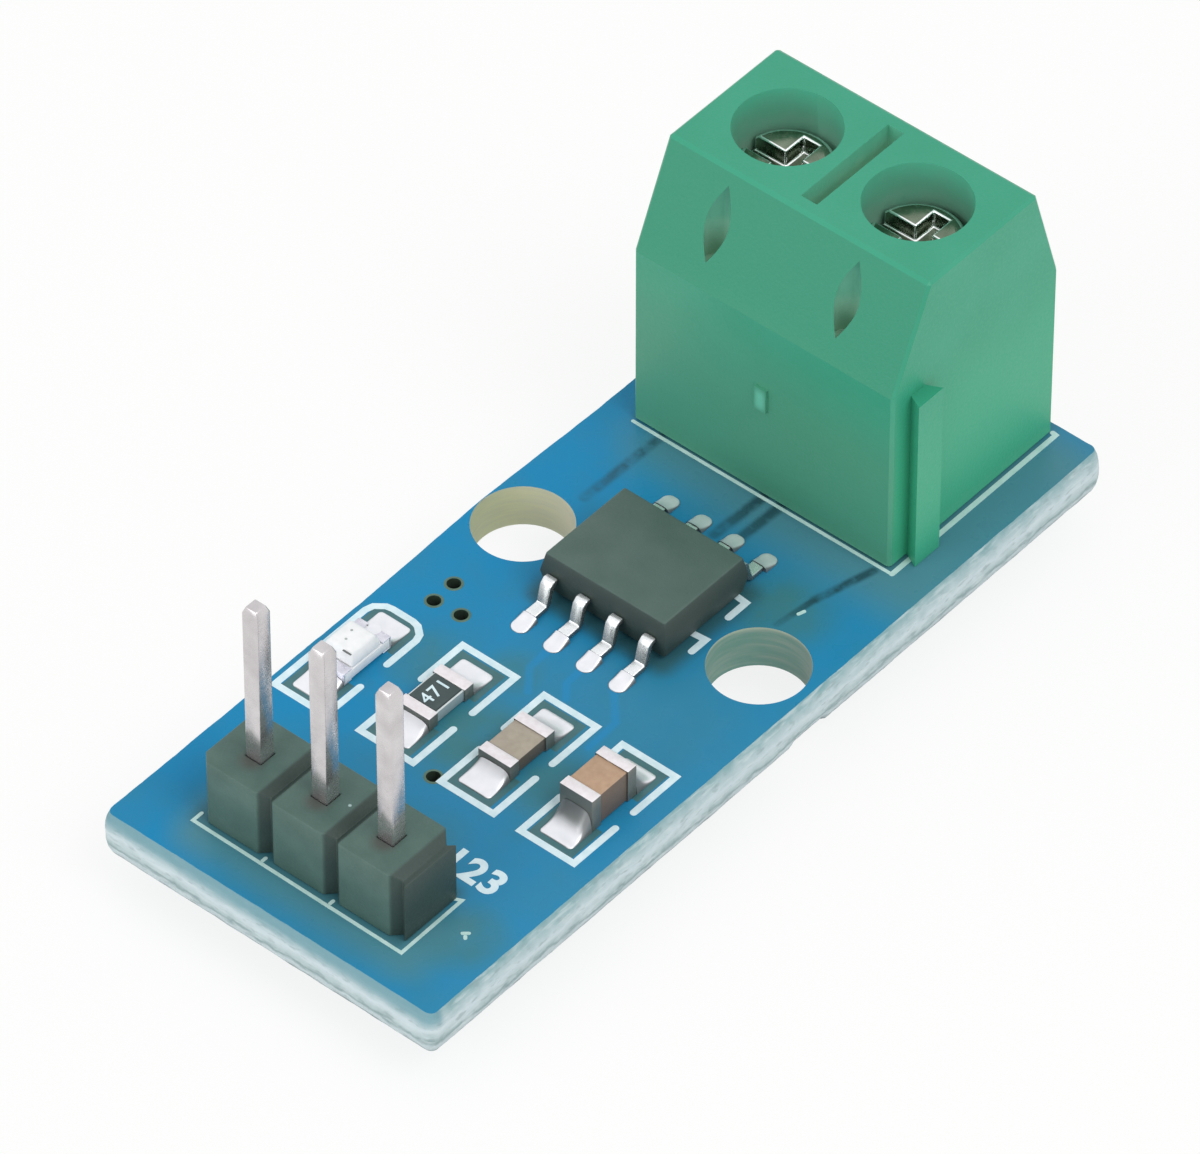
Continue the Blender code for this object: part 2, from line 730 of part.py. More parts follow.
def wire_entry(x):
    """Opening in the wire face, flared over its first millimetre."""
    middle = (ENTRY_BOTTOM + ENTRY_TOP) / 2
    height = ENTRY_TOP - ENTRY_BOTTOM
    width = min(ENTRY_WIDTH, CELL_WIDTH) - 2 * ENTRY_FLARE
    flare_rate = ENTRY_FLARE / ENTRY_DEPTH
    sections = (
        (CELL_FRONT - CUT, 0),
        (TERMINAL_FRONT - ENTRY_DEPTH, 0),
        (TERMINAL_FRONT + CUT, (ENTRY_DEPTH + CUT) * flare_rate),
    )
    rings = []
    for y, grow in sections:
        half, rise = width / 2 + grow, height / 2 + grow
        rings.append([
            (x - half, y, middle - rise), (x + half, y, middle - rise),
            (x + half, y, middle + rise), (x - half, y, middle + rise),
        ])
    return loft(rings)


def make_housing(made_of):
    left = PATTERN_SHIFT - TERMINAL_WIDTH / 2
    shape = extrude_x(housing_profile(), left, left + TERMINAL_WIDTH)
    housing = new_object("terminal_housing", shape, made_of)
    bevel(housing, HOUSING_EDGE)
    add_rib_and_groove(housing)
    add_gate_nub(housing)
    for side, x in zip(SIDES, pole_xs()):
        cut_pole(housing, side, x)
    half_slot = SLOT_WIDTH / 2
    half_length = SLOT_LENGTH / 2
    low = (PATTERN_SHIFT - half_slot, SCREW_Y - half_length, TERMINAL_TOP - SLOT_DEPTH)
    high = (PATTERN_SHIFT + half_slot, SCREW_Y + half_length, TERMINAL_TOP + CUT)
    cut(housing, "top_slot", box(low, high))


def make_screw(side, x, made_of):
    """Screw whose origin lies on its axis, at the seat under its head."""
    head = SCREW_HEAD_DIAMETER / 2
    seat = BORE_FLOOR + SEAT
    tip = BAR_TOP + SEAT - seat
    radius = SCREW_DIAMETER / 2
    edge = SCREW_HEAD_EDGE
    rings = [
        circle(0, 0, radius - edge, tip, ROUND_STEPS),
        circle(0, 0, radius, tip + edge, ROUND_STEPS),
        circle(0, 0, radius, 0, ROUND_STEPS),
        circle(0, 0, head, 0, ROUND_STEPS),
        circle(0, 0, head, SCREW_HEAD_HEIGHT - edge, ROUND_STEPS),
        circle(0, 0, head - edge, SCREW_HEAD_HEIGHT, ROUND_STEPS),
    ]
    screw = new_object("terminal_screw_" + side, loft(rings), made_of, (x, SCREW_Y, seat))
    low, high = SCREW_HEAD_HEIGHT - DRIVE_DEPTH, SCREW_HEAD_HEIGHT + CUT
    slots = (
        ("slot", head + CUT, DRIVE_WIDTH / 2),
        ("cross", DRIVE_WIDTH / 2, CROSS_LENGTH / 2),
    )
    for name, half_x, half_y in slots:
        shape = box((-half_x, -half_y, low), (half_x, half_y, high))
        cutter = new_object(f"cutter_{name}_{side}", shape)
        cutter.parent = screw
        boolean(screw, cutter, "DIFFERENCE")
    shade_round(screw)


def make_cage(side, x, made_of):
    """Rectangular cage, open along Y, that the screw draws up from below the bar."""
    half, deep = CAGE_WIDTH / 2, CAGE_DEPTH / 2
    bottom = CAGE_BOTTOM
    low = (x - half, SCREW_Y - deep, bottom)
    high = (x + half, SCREW_Y + deep, bottom + CAGE_HEIGHT)
    cage = new_object("clamp_cage_" + side, box(low, high), made_of)
    bevel(cage, CAGE_EDGE)
    inner = half - CAGE_WALL
    floor = bottom + CAGE_FLOOR
    low = (x - inner, SCREW_Y - deep - CUT, floor)
    high = (x + inner, SCREW_Y + deep + CUT, floor + CAGE_WINDOW)
    cut(cage, "window_" + side, box(low, high))
    thread = SCREW_DIAMETER / 2 + SLIDE
    low, high = floor + CAGE_WINDOW / 2, bottom + CAGE_HEIGHT + CUT
    cut(cage, "thread_" + side, round_bar(x, SCREW_Y, thread, low, high))


def contact_outline():
    """Bent strip as (y, z): solder leg up the back of the cell, then the bar."""
    back, front = LEG_Y - BAR_THICKNESS / 2, LEG_Y + BAR_THICKNESS / 2
    end = CELL_FRONT - BAR_END_GAP
    under = BAR_TOP - BAR_THICKNESS
    shoulder = TERMINAL_BASE + CAGE_FLOOR_GAP
    outline = [
        (back, shoulder), (front, shoulder), (front, under), (end, under), (end, BAR_TOP),
    ]
    for i in range(BAR_BEND_STEPS + 1):
        angle = math.pi / 2 * i / BAR_BEND_STEPS
        y = back + BAR_BEND - BAR_BEND * math.sin(angle)
        z = BAR_TOP - BAR_BEND + BAR_BEND * math.cos(angle)
        outline.append((y, z))
    return outline


def make_contact(side, x, made_of):
    half = BAR_WIDTH / 2
    shape = extrude_x(contact_outline(), x - half, x + half)
    contact = new_object("terminal_contact_" + side, shape, made_of)
    width, depth = SOLDER_PIN_WIDTH, BAR_THICKNESS
    top = TERMINAL_BASE + CAGE_FLOOR_GAP + BAR_THICKNESS
    rings = [
        rectangle(x, LEG_Y, width / 2, depth / 2, 0),
        rectangle(x, LEG_Y, width, depth, PIN_TIP),
        rectangle(x, LEG_Y, width, depth, top),
    ]
    join(contact, "solder_pin_" + side, loft(rings))


def make_terminal(materials):
    make_housing(materials["housing"])
    for side, x in zip(SIDES, pole_xs()):
        make_screw(side, x, materials["steel"])
        make_cage(side, x, materials["steel"])
        make_contact(side, x, materials["brass"])


def clear_scene():
    for old in list(bpy.data.objects):
        bpy.data.objects.remove(old)


def main():
    clear_scene()
    materials = make_materials()
    make_board(materials["board"])
    make_header(materials["black"])
    make_header_pins(materials["pin"])
    make_tail_solder(materials["solder"])
    make_chip_row(materials)
    make_chip_body(materials["black"])
    make_leads(materials)
    make_terminal(materials)


main()
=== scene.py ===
"""Looks of the current sensor module: board, marks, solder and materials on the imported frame.

Places and sizes are in millimetres, in the frame of the CAD, and become metres where a mesh
is made. X runs across the board, Y towards the terminal, Z up.
"""

import math

import bmesh
import bpy
from mathutils import Matrix, Vector, noise


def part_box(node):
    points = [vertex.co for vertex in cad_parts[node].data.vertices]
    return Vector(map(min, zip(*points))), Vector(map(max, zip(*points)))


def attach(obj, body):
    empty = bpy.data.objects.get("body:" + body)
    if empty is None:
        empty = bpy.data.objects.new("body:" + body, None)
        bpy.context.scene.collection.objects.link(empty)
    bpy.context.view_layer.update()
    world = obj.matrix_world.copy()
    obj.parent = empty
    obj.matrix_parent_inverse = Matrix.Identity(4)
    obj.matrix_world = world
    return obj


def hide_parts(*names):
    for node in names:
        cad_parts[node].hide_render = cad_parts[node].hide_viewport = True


MM = 0.001
SIDES = ("left", "right")

# Board, as the CAD has it
BOARD_HALF_X = 6.5
BOARD_HALF_Y = 15.5
BOARD_BOTTOM = 1.4
BOARD_TOP = 3.0
SCORE_INSET = 0.18
SCORE_DEPTH = 0.5
CORNER_RADIUS = 0.45
CORNER_STEPS = 6
MOUNTING_HOLES = ((-4.8, 1.64), (4.4, 1.64))
MOUNTING_RADIUS = 1.6
MOUNTING_STEPS = 64
HOLE_STEPS = 24
VIA_STEPS = 20
DRILL_REACH = 1.0
PIN_XS = (-2.74, -0.2, 2.34)
PIN_PITCH = 2.54
HEADER_Y = -12.46
HEADER_HOLE_RADIUS = 0.5
POLE_XS = (-2.7, 2.3)
LEG_Y = 9.15
TERMINAL_HOLE_RADIUS = 0.695
VIAS = ((-4.72, -1.61), (-4.7, -2.54), (-3.69, -2.47), (0.06, -8.04))
VIA_RADIUS = 0.225
VIA_RIM = 0.08
VIA_RIM_RISE = 0.01
VIA_RIM_SLOPE = 0.02

# Screw terminal and sensor chip, as the CAD has them
TERMINAL_TOP = 13.615
TERMINAL_BACK = 7.22
TERMINAL_MIDDLE_X = -0.2
SCREW_Y = 11.32
BORE_RADIUS = 1.7
RECESSES_LOW = 9.0
SLOT_HALF_WIDTH = 0.32
SLOT_HALF_LENGTH = 2.05
LEAF_HALF_WIDTH = 0.45
LEAF_NEAR_Y = 7.4
LEAF_FAR_Y = 8.8
GATE_MARK_Z = 7.0
CHIP_MIDDLE = (-0.13, 1.75)
CHIP_LEADS = 8

# Thin wall that closes the slit between the housing's groove and the left cell
GROOVE_WALL_LOW = (-4.655, 8.75, 3.015)
GROOVE_WALL_HIGH = (-4.57, 9.1, 9.72)
GROOVE_WALL_EDGE = 0.01

# Rough edge of the board
EDGE_STEP = 0.12
# Least outward X on the long sides
LONG_SIDE = 0.9
TEAR_SCALES = (1.6, 3.0)
FINE_SCALES = (6.0, 9.0)
TEAR_SHARE = 0.6
WEB_RAGGED = 0.09
SLOPE_RAGGED = 0.02
MASK_RAGGED = 0.05
BREAK_LOW_Y = 0.8
BREAK_HIGH_Y = 2.4
BREAK_DEPTH = 0.1
# Share of the wear left beside the left hole, and how far off all of it is back
THIN_SHARE = 0.35
THIN_REACH = 8.0

# Marks printed on the board
MARK_WIDTH = 0.235
THIN_MARK = 0.12
SIDE_MARK = 0.175
MARK_GAP = 0.001
MARK_RISE = 0.012
SIDE_MARK_RISE = 0.016
CAP_STEPS = 6
PIN_NUMBERS_PLACE = (3.47, -10.22, BOARD_TOP + MARK_GAP)
PIN_NUMBERS_HEIGHT = 1.35
RESISTOR_CODE_HEIGHT = 0.66

# Smoothing and joining, with angles in degrees
SMOOTH_ANGLE = 32
BOARD_SMOOTH_ANGLE = 20
BLOB_SMOOTH_ANGLE = 50
JOIN_ANGLE = 1
JOIN_DISTANCE = 0.0002

# Upright parts of normals, and slack, for telling faces apart
LYING = 0.95
STANDING = 0.05
WALL_SLACK = 0.05
FACE_SLACK = 0.02

# Rounding of the dressed pieces' edges
END_EDGE = 0.035
DIODE_END_EDGE = 0.012
BODY_EDGE = 0.03
LENS_EDGE = 0.08
OVERCOAT_EDGE = 0.02
CHIP_EDGE = 0.06
LEAD_EDGE = 0.04
HEADER_EDGE = 0.07
PIN_EDGE = 0.05
TAIL_EDGE = 0.02
SCREW_EDGE = 0.06
CAGE_EDGE = 0.04
CONTACT_EDGE = 0.04

# Camera and image
IMAGE_WIDTH = 1200
IMAGE_HEIGHT = 1154
SENSOR_WIDTH = 36.0
CAMERA_AZIMUTH = 40.4
CAMERA_ELEVATION = 45.0
CAMERA_DISTANCE = 350.0
PIXELS_PER_MM = 33.7
BOARD_MIDDLE_PIXEL = (609.6, 627.3)

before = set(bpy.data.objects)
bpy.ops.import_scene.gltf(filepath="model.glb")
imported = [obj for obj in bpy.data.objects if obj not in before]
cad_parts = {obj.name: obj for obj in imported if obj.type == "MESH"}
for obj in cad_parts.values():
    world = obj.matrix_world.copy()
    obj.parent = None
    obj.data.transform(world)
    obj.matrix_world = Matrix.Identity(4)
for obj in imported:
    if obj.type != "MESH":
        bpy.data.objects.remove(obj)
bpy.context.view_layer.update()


# Meshes

def new_piece(name, shape, body="board"):
    """Object from a bmesh in millimetres, riding on a CAD body."""
    bmesh.ops.recalc_face_normals(shape, faces=shape.faces)
    bmesh.ops.scale(shape, vec=Vector((MM, MM, MM)), verts=shape.verts)
    mesh = bpy.data.meshes.new(name)
    shape.to_mesh(mesh)
    shape.free()
    return place_mesh(name, mesh, body)


def new_object(name, data):
    """Object in the scene for a mesh, a curve, a lamp or a camera."""
    made = bpy.data.objects.new(name, data)
    bpy.context.scene.collection.objects.link(made)
    return made


def place_mesh(name, mesh, body):
    made = new_object(name, mesh)
    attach(made, body)
    return made


def smooth(made, angle=SMOOTH_ANGLE):
    made.data.shade_smooth()
    made.data.set_sharp_from_angle(angle=math.radians(angle))


def baked(made):
    """Applies the modifiers, so that the mesh holds its final shape."""
    bpy.context.view_layer.update()
    graph = bpy.context.evaluated_depsgraph_get()
    mesh = bpy.data.meshes.new_from_object(made.evaluated_get(graph))
    made.modifiers.clear()
    made.data = mesh


def copy_node(node, body):
    """Piece of the same shape as a CAD node, with its flat faces joined up."""
    shape = bmesh.new()
    shape.from_mesh(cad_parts[node].data)
    bmesh.ops.remove_doubles(shape, verts=shape.verts, dist=JOIN_DISTANCE * MM)
    flat = math.radians(JOIN_ANGLE)
    bmesh.ops.dissolve_limit(shape, angle_limit=flat, verts=shape.verts, edges=shape.edges)
    mesh = bpy.data.meshes.new(node + "_dressed")
    shape.to_mesh(mesh)
    shape.free()
    return place_mesh(node + "_dressed", mesh, body)


def paint(made, looks):
    """Gives a piece its materials, in the order of its faces' numbers."""
    for look in looks:
        made.data.materials.append(materials[look])


def dress(nodes, width, looks, segments=2, body="board"):
    """Replaces CAD nodes with copies whose sharp edges are rounded.

    A second look, if there is one, goes on the rounded edges.
    """
    for node in nodes:
        piece = copy_node(node, body)
        paint(piece, looks)
        edge = piece.modifiers.new("edge", "BEVEL")
        edge.width = width * MM
        edge.segments = segments
        edge.limit_method = "ANGLE"
        edge.angle_limit = math.radians(SMOOTH_ANGLE)
        edge.use_clamp_overlap = True
        edge.material = len(looks) - 1
        baked(piece)
        smooth(piece)
        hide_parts(node)


# Materials

class Shader:
    """A material's node tree with short ways to wire it, in millimetres."""

    def __init__(self, name, colour, roughness, metallic=0.0):
        self.material = bpy.data.materials.new(name)
        self.material.use_nodes = True
        self.tree = self.material.node_tree
        self.base = self.tree.nodes["Principled BSDF"]
        self.base.inputs["Base Color"].default_value = (*colour, 1)
        self.base.inputs["Roughness"].default_value = roughness
        self.base.inputs["Metallic"].default_value = metallic
        scaled = self.node("ShaderNodeVectorMath", operation="SCALE")
        scaled.inputs["Scale"].default_value = 1 / MM
        place = self.node("ShaderNodeTexCoord").outputs["Object"]
        self.link(place, scaled.inputs[0])
        self.place = scaled.outputs[0]
        parts = self.node("ShaderNodeSeparateXYZ")
        self.link(self.place, parts.inputs[0])
        self.x, self.y, self.z = parts.outputs

    def node(self, kind, **values):
        made = self.tree.nodes.new(kind)
        for key, value in values.items():
            setattr(made, key, value)
        return made

    def link(self, source, target):
        self.tree.links.new(source, target)

    def feed(self, socket, value):
        """Links a socket's value, or sets a plain one."""
        if hasattr(value, "is_linked"):
            self.link(value, socket)
        else:
            socket.default_value = value

    def math(self, operation, first, second=0.0, clamp=False):
        made = self.node("ShaderNodeMath", operation=operation, use_clamp=clamp)
        self.feed(made.inputs[0], first)
        self.feed(made.inputs[1], second)
        return made.outputs[0]

    def times(self, first, second):
        return self.math("MULTIPLY", first, second)

    def minus(self, first, second):
        return self.math("SUBTRACT", first, second)

    def fade(self, value, start, end, top=1.0):
        """top where value is at start or before it, and 0 at end and after it."""
        made = self.node("ShaderNodeMapRange", interpolation_type="SMOOTHSTEP")
        self.link(value, made.inputs["Value"])
        limits = {"From Min": start, "From Max": end, "To Min": top, "To Max": 0}
        for socket, limit in limits.items():
            made.inputs[socket].default_value = limit
        return made.outputs["Result"]

    def largest(self, values):
        total = values[0]
        for value in values[1:]:
            total = self.math("MAXIMUM", total, value)
        return total

    def noise(self, scale, detail=3.0, stretch=(1, 1, 1)):
        """Noise from 0 to 1 with features scale per millimetre."""
        mapping = self.node("ShaderNodeMapping")
        mapping.inputs["Scale"].default_value = [scale * s for s in stretch]
        self.link(self.place, mapping.inputs["Vector"])
        texture = self.node("ShaderNodeTexNoise")
        texture.inputs["Scale"].default_value = 1.0
        texture.inputs["Detail"].default_value = detail
        self.link(mapping.outputs["Vector"], texture.inputs["Vector"])
        return texture.outputs["Fac"]

    def length(self, x, y):
        squares = self.math("ADD", self.times(x, x), self.times(y, y))
        return self.math("SQRT", squares)

    def near_spot(self, x, y, inner, outer, top=1.0):
        """top within inner of an upright line at (x, y), and 0 beyond outer."""
        dx = self.minus(self.x, x)
        dy = self.minus(self.y, y)
        return self.fade(self.length(dx, dy), inner, outer, top)

    def near_line(self, start, end, inner, outer, top=1.0, end_top=1.0):
        """Soft band along a line seen from above, from top to end_top in strength."""
        way = Vector(end) - Vector(start)
        dx = self.minus(self.x, start[0])
        dy = self.minus(self.y, start[1])
        along_x = self.times(dx, way.x / way.length_squared)
        along_y = self.times(dy, way.y / way.length_squared)
        held = self.math("ADD", along_x, along_y, clamp=True)
        off_x = self.minus(dx, self.times(held, way.x))
        off_y = self.minus(dy, self.times(held, way.y))
        band = self.fade(self.length(off_x, off_y), inner, outer)
        strength = self.math("ADD", self.times(held, end_top - top), top)
        return self.times(band, strength)

    def near_box(self, x, y, half_x, half_y, soft, top=1.0):
        """top inside an upright box, fading to 0 at a distance of soft."""
        dx = self.math("ABSOLUTE", self.minus(self.x, x))
        dy = self.math("ABSOLUTE", self.minus(self.y, y))
        out_x = self.math("MAXIMUM", self.minus(dx, half_x), 0.0)
        out_y = self.math("MAXIMUM", self.minus(dy, half_y), 0.0)
        return self.fade(self.length(out_x, out_y), 0.0, soft, top)

    def facing(self):
        """Where the surface faces, as X, Y and Z parts."""
        parts = self.node("ShaderNodeSeparateXYZ")
        self.link(self.node("ShaderNodeNewGeometry").outputs["Normal"], parts.inputs[0])
        return parts.outputs

    def upright(self, low=0.25, high=0.75):
        """1 on faces that stand, 0 on faces that lie."""
        return self.fade(self.facing()[2], low, high)

    def ramp(self, source, stops):
        made = self.node("ShaderNodeValToRGB")
        spots = made.color_ramp.elements
        while len(spots) < len(stops):
            spots.new(0.5)
        for spot, (position, colour) in zip(spots, stops):
            spot.position = position
            spot.color = (*colour, 1)
        self.link(source, made.inputs["Fac"])
        return made.outputs["Color"]

    def grey(self, source, stops):
        return self.ramp(source, [(position, (v, v, v)) for position, v in stops])

    def mix(self, share, first, second):
        """Colour from first to second; a colour is a socket or three numbers."""
        made = self.node("ShaderNodeMix", data_type="RGBA")
        self.feed(made.inputs[0], share)
        for socket, value in ((made.inputs[6], first), (made.inputs[7], second)):
            self.feed(socket, value if hasattr(value, "is_linked") else (*value, 1))
        return made.outputs[2]

    def colour(self, source):
        self.link(source, self.base.inputs["Base Color"])

    def roughness(self, source):
        self.link(source, self.base.inputs["Roughness"])

    def specular(self, level):
        self.base.inputs["Specular IOR Level"].default_value = level

    def bump(self, source, height, strength=1.0):
        made = self.node("ShaderNodeBump")
        made.inputs["Strength"].default_value = strength
        made.inputs["Distance"].default_value = height * MM
        self.link(source, made.inputs["Height"])
        self.link(made.outputs["Normal"], self.base.inputs["Normal"])


def mottled(name, low, high, roughness, metallic=0.0, scale=2.0, grain=14.0, rise=0.01,
            strength=0.5, side=None, lean=(0.25, 0.75)):
    """Plain moulded or plated stuff: a slow drift of colour and a fine grain.

    side is a tone of painted shade and reflection for its standing faces, which mirror the dark
    board in the photo. A face takes it where the upright part of its normal is below the first
    value of lean.
    """
    shader = Shader(name, low, sum(roughness) / 2, metallic)
    tone = shader.ramp(shader.noise(scale), [(0.3, low), (0.7, high)])
    if side:
        tone = shader.mix(shader.upright(*lean), tone, side)
    shader.colour(tone)
    fine = shader.noise(grain, 4)
    shader.roughness(shader.grey(fine, [(0.3, roughness[0]), (0.7, roughness[1])]))
    shader.bump(fine, rise, strength)
    return shader.material


MASK_BRIGHT = (0.005, 0.23, 0.46)
MASK_TEAL = (0.046, 0.2, 0.235)
MASK_RIGHT = (0.018, 0.23, 0.43)
MASK_LIGHT_VEIL = (0.074, 0.24, 0.295)
MASK_LINE = (0.018, 0.07, 0.09)
MASK_DARK = (0.036, 0.12, 0.138)
MASK_TRACE = (0.012, 0.25, 0.53)
# (x, y, inner radius, outer radius, strength) of the greener patches of painted shade and
# reflection near the parts
TEAL_SHADE_SPOTS = (
    (-3.2, -4.5, 0.4, 2.0, 0.8), (-0.3, -6.1, 0.6, 2.8, 1.0), (-0.9, -3.3, 0.3, 1.5, 0.7),
    (2.9, -6.0, 0.4, 2.4, 0.9), (4.9, -12.4, 0.4, 2.0, 0.9), (3.4, 3.8, 0.5, 2.4, 1.0),
    (1.6, -10.0, 0.2, 1.8, 0.5), (3.4, -2.0, 1.0, 4.5, 0.35), (2.0, -4.4, 0.3, 1.6, 0.5),
)
# (x, y, half x, half y, softness, strength) of the paler, greyer patches of painted light before
# the tall parts, where their shade falls
LIGHT_VEIL_BOXES = (
    (0.3, -13.4, 3.9, 0.7, 1.5, 0.95), (1.1, 10.4, 4.7, 3.4, 2.4, 0.95),
)
# (start, end, inner half width, outer half width, strength at the start, at the end)
DARK_LINES = (
    ((-4.05, 7.2), (-4.12, 3.7), 0.05, 0.28, 1.0, 0.5),
    ((-0.05, 7.2), (-0.15, 5.0), 0.07, 0.3, 1.0, 0.6),
    ((0.6, 7.2), (0.52, 4.6), 0.07, 0.3, 1.0, 0.6),
    ((4.45, 6.9), (3.9, 4.84), 0.05, 0.24, 0.9, 1.0),
    ((3.9, 4.84), (3.7, 3.3), 0.05, 0.18, 1.0, 0.3),
)
# (x, y, half x, half y, softness, strength) of the shades under the tall parts
SHADE_BOXES = (
    (*CHIP_MIDDLE, 2.35, 1.95, 0.75, 0.9),
    (-0.2, HEADER_Y, 3.8, 1.2, 0.6, 0.6),
    (-0.2, 11.2, 4.8, 3.9, 0.5, 0.35),
)
# Heights between which the mask's patches and shades fade in
PATCHES_LOW = 2.2
PATCHES_HIGH = 2.9
TRACE_HALF_WIDTHS = (0.05, 0.2)
TRACE_LINES = (
    ((-0.77, -1.9), (-0.72, -2.8)), ((-0.72, -2.8), (-0.1, -3.6)),
    ((0.5, -1.9), (0.55, -2.6)), ((0.55, -2.6), (0.95, -3.1)),
    ((1.78, -1.9), (2.7, -2.9)), ((2.7, -2.9), (2.75, -4.2)),
)


def mask_material():
    """Blue solder mask, greener in a random drift and darker along gaps in the copper, with
    painted light, shade and reflection round the parts.
    """
    shader = Shader("solder_mask", MASK_BRIGHT, 0.3)
    shader.specular(0.2)
    # Greener patches of painted shade and reflection near the parts, over a random greener drift
    spots = shader.largest([shader.near_spot(*spot) for spot in TEAL_SHADE_SPOTS])
    wavy = shader.grey(shader.noise(1.1, 3.0), [(0.3, 0.7), (0.6, 1.0)])
    drift = shader.grey(shader.noise(0.5, 3.0), [(0.4, 0.0), (0.75, 0.3)])
    teal = shader.math("MAXIMUM", shader.times(spots, wavy), drift)
    plain = shader.mix(shader.fade(shader.x, -4.5, 0.5), MASK_RIGHT, MASK_BRIGHT)
    tone = shader.mix(teal, plain, MASK_TEAL)
    # Painted light pales and greys the mask before the tall parts
    light_veil = shader.largest([shader.near_box(*box) for box in LIGHT_VEIL_BOXES])
    tone = shader.mix(light_veil, tone, MASK_LIGHT_VEIL)
    traces = [shader.near_line(*line, *TRACE_HALF_WIDTHS) for line in TRACE_LINES]
    traces = shader.largest(traces)
    tone = shader.mix(shader.times(traces, 0.55), tone, MASK_TRACE)
    broken = shader.grey(shader.noise(1.8, 4.0), [(0.32, 0.35), (0.55, 1.0)])
    lines = shader.largest([shader.near_line(*line) for line in DARK_LINES])
    tone = shader.mix(shader.times(lines, broken), tone, MASK_LINE)
    below = shader.fade(shader.z, PATCHES_LOW, PATCHES_HIGH)
    tone = shader.mix(below, tone, plain)
    shades = shader.largest([shader.near_box(*box) for box in SHADE_BOXES])
    shades = shader.times(shades, shader.minus(1.0, below))
    shader.colour(shader.mix(shades, tone, MASK_DARK))
    shader.roughness(shader.grey(shader.noise(1.2, 2.0), [(0.3, 0.24), (0.7, 0.38)]))
    shader.bump(shader.noise(2.2, 3.0), 0.01, 0.25)
    return shader.material


def fibre_material():
    """Torn glass-fibre laminate: pale, with a jagged stripe and flecks, darker in front."""
    shader = Shader("cut_fibre", (0.5, 0.58, 0.6), 0.75)
    height = shader.minus(shader.z, BOARD_BOTTOM)
    height = shader.math("DIVIDE", height, BOARD_TOP - BOARD_BOTTOM)
    wave = shader.times(shader.minus(shader.noise(1.8, 6.0), 0.5), 0.36)
    layers = shader.ramp(shader.math("ADD", height, wave), [
        (0.0, (0.26, 0.31, 0.32)), (0.08, (0.48, 0.56, 0.58)), (0.2, (0.5, 0.59, 0.61)),
        (0.3, (0.25, 0.34, 0.35)), (0.38, (0.42, 0.52, 0.53)), (0.58, (0.56, 0.65, 0.68)),
        (0.8, (0.38, 0.5, 0.52)), (1.0, (0.2, 0.36, 0.38)),
    ])
    streaks = shader.grey(shader.noise(1.0, 5.0, (1.1, 1.1, 7.0)), [(0.5, 0.0), (0.66, 0.5)])
    tone = shader.mix(streaks, layers, (0.62, 0.7, 0.71))
    pits = shader.grey(shader.noise(1.0, 4.0, (2.0, 2.0, 6.0)), [(0.56, 0.0), (0.7, 0.5)])
    tone = shader.mix(pits, tone, (0.22, 0.3, 0.31))
    front = shader.fade(shader.y, 0.4 - BOARD_HALF_Y, 0.7 - BOARD_HALF_Y)
    band = shader.times(front, shader.fade(shader.z, 2.85, 2.35, 0.9))
    shader.colour(shader.mix(band, tone, (0.155, 0.315, 0.365)))
    shader.bump(shader.noise(6.0, 4.0), 0.04, 0.5)
    return shader.material


def hole_material():
    """Drilled laminate: buff to grey-green, with a paler rim and faint rings."""
    shader = Shader("hole_wall", (0.2, 0.2, 0.16), 0.6)
    across = shader.math("ADD", shader.math("DIVIDE", shader.x, 2 * BOARD_HALF_X), 0.5)
    tone = shader.ramp(across, [
        (0.02, (0.64, 0.66, 0.42)), (0.17, (0.62, 0.6, 0.45)), (0.25, (0.44, 0.42, 0.36)),
        (0.72, (0.17, 0.34, 0.28)), (0.86, (0.2, 0.34, 0.29)), (0.95, (0.33, 0.38, 0.33)),
    ])
    rings = shader.grey(shader.noise(1.0, 4.0, (0.8, 0.8, 8.0)), [(0.4, 0.0), (0.7, 0.35)])
    tone = shader.mix(rings, tone, (0.46, 0.5, 0.44))
    rim = shader.fade(shader.z, BOARD_TOP, BOARD_TOP - 0.16, 0.75)
    shader.colour(shader.mix(rim, tone, (0.6, 0.62, 0.47)))
    shader.bump(shader.noise(5.0, 3.0), 0.02, 0.4)
    return shader.material


def housing_material():
    """Green nylon with a paler gate mark on the back, painted shade on the slope above the back,
    painted light low on the faces and a greyer painted reflection low on the back.
    """
    shader = Shader("green_nylon", (0.06, 0.34, 0.2), 0.45)
    slow = shader.ramp(shader.noise(0.4), [
        (0.3, (0.028, 0.308, 0.18)), (0.7, (0.036, 0.332, 0.2)),
    ])
    # Painted shade on the slope that faces the same way as the back
    _, facing_y, facing_z = shader.facing()
    lean = shader.math("GREATER_THAN", facing_z, 0.12)
    lean = shader.times(shader.fade(facing_y, -0.8, -0.5), lean)
    slow = shader.mix(lean, slow, (0.018, 0.258, 0.148))
    # Painted light low on the faces, and a greyer painted reflection of the board low on the
    # back
    low = shader.fade(shader.math("ADD", shader.z, shader.noise(0.35, 2.0)), 6.5, 11.5, 0.8)
    back = shader.fade(shader.y, TERMINAL_BACK + 0.02, TERMINAL_BACK + 0.25)
    tone = shader.mix(low, slow, (0.045, 0.38, 0.215))
    tone = shader.mix(back, tone, shader.mix(low, slow, (0.08, 0.305, 0.192)))
    rise = shader.math("ABSOLUTE", shader.minus(shader.z, GATE_MARK_Z))
    across = shader.math("ABSOLUTE", shader.minus(shader.x, TERMINAL_MIDDLE_X))
    gate = shader.times(shader.fade(rise, 0.15, 0.55), shader.fade(across, 0.05, 0.28))
    gate = shader.times(gate, back)
    shader.colour(shader.mix(gate, tone, (0.13, 0.5, 0.35)))
    fine = shader.noise(11.0, 4)
    shader.roughness(shader.grey(fine, [(0.3, 0.4), (0.7, 0.54)]))
    shader.bump(fine, 0.02, 0.4)
    return shader.material


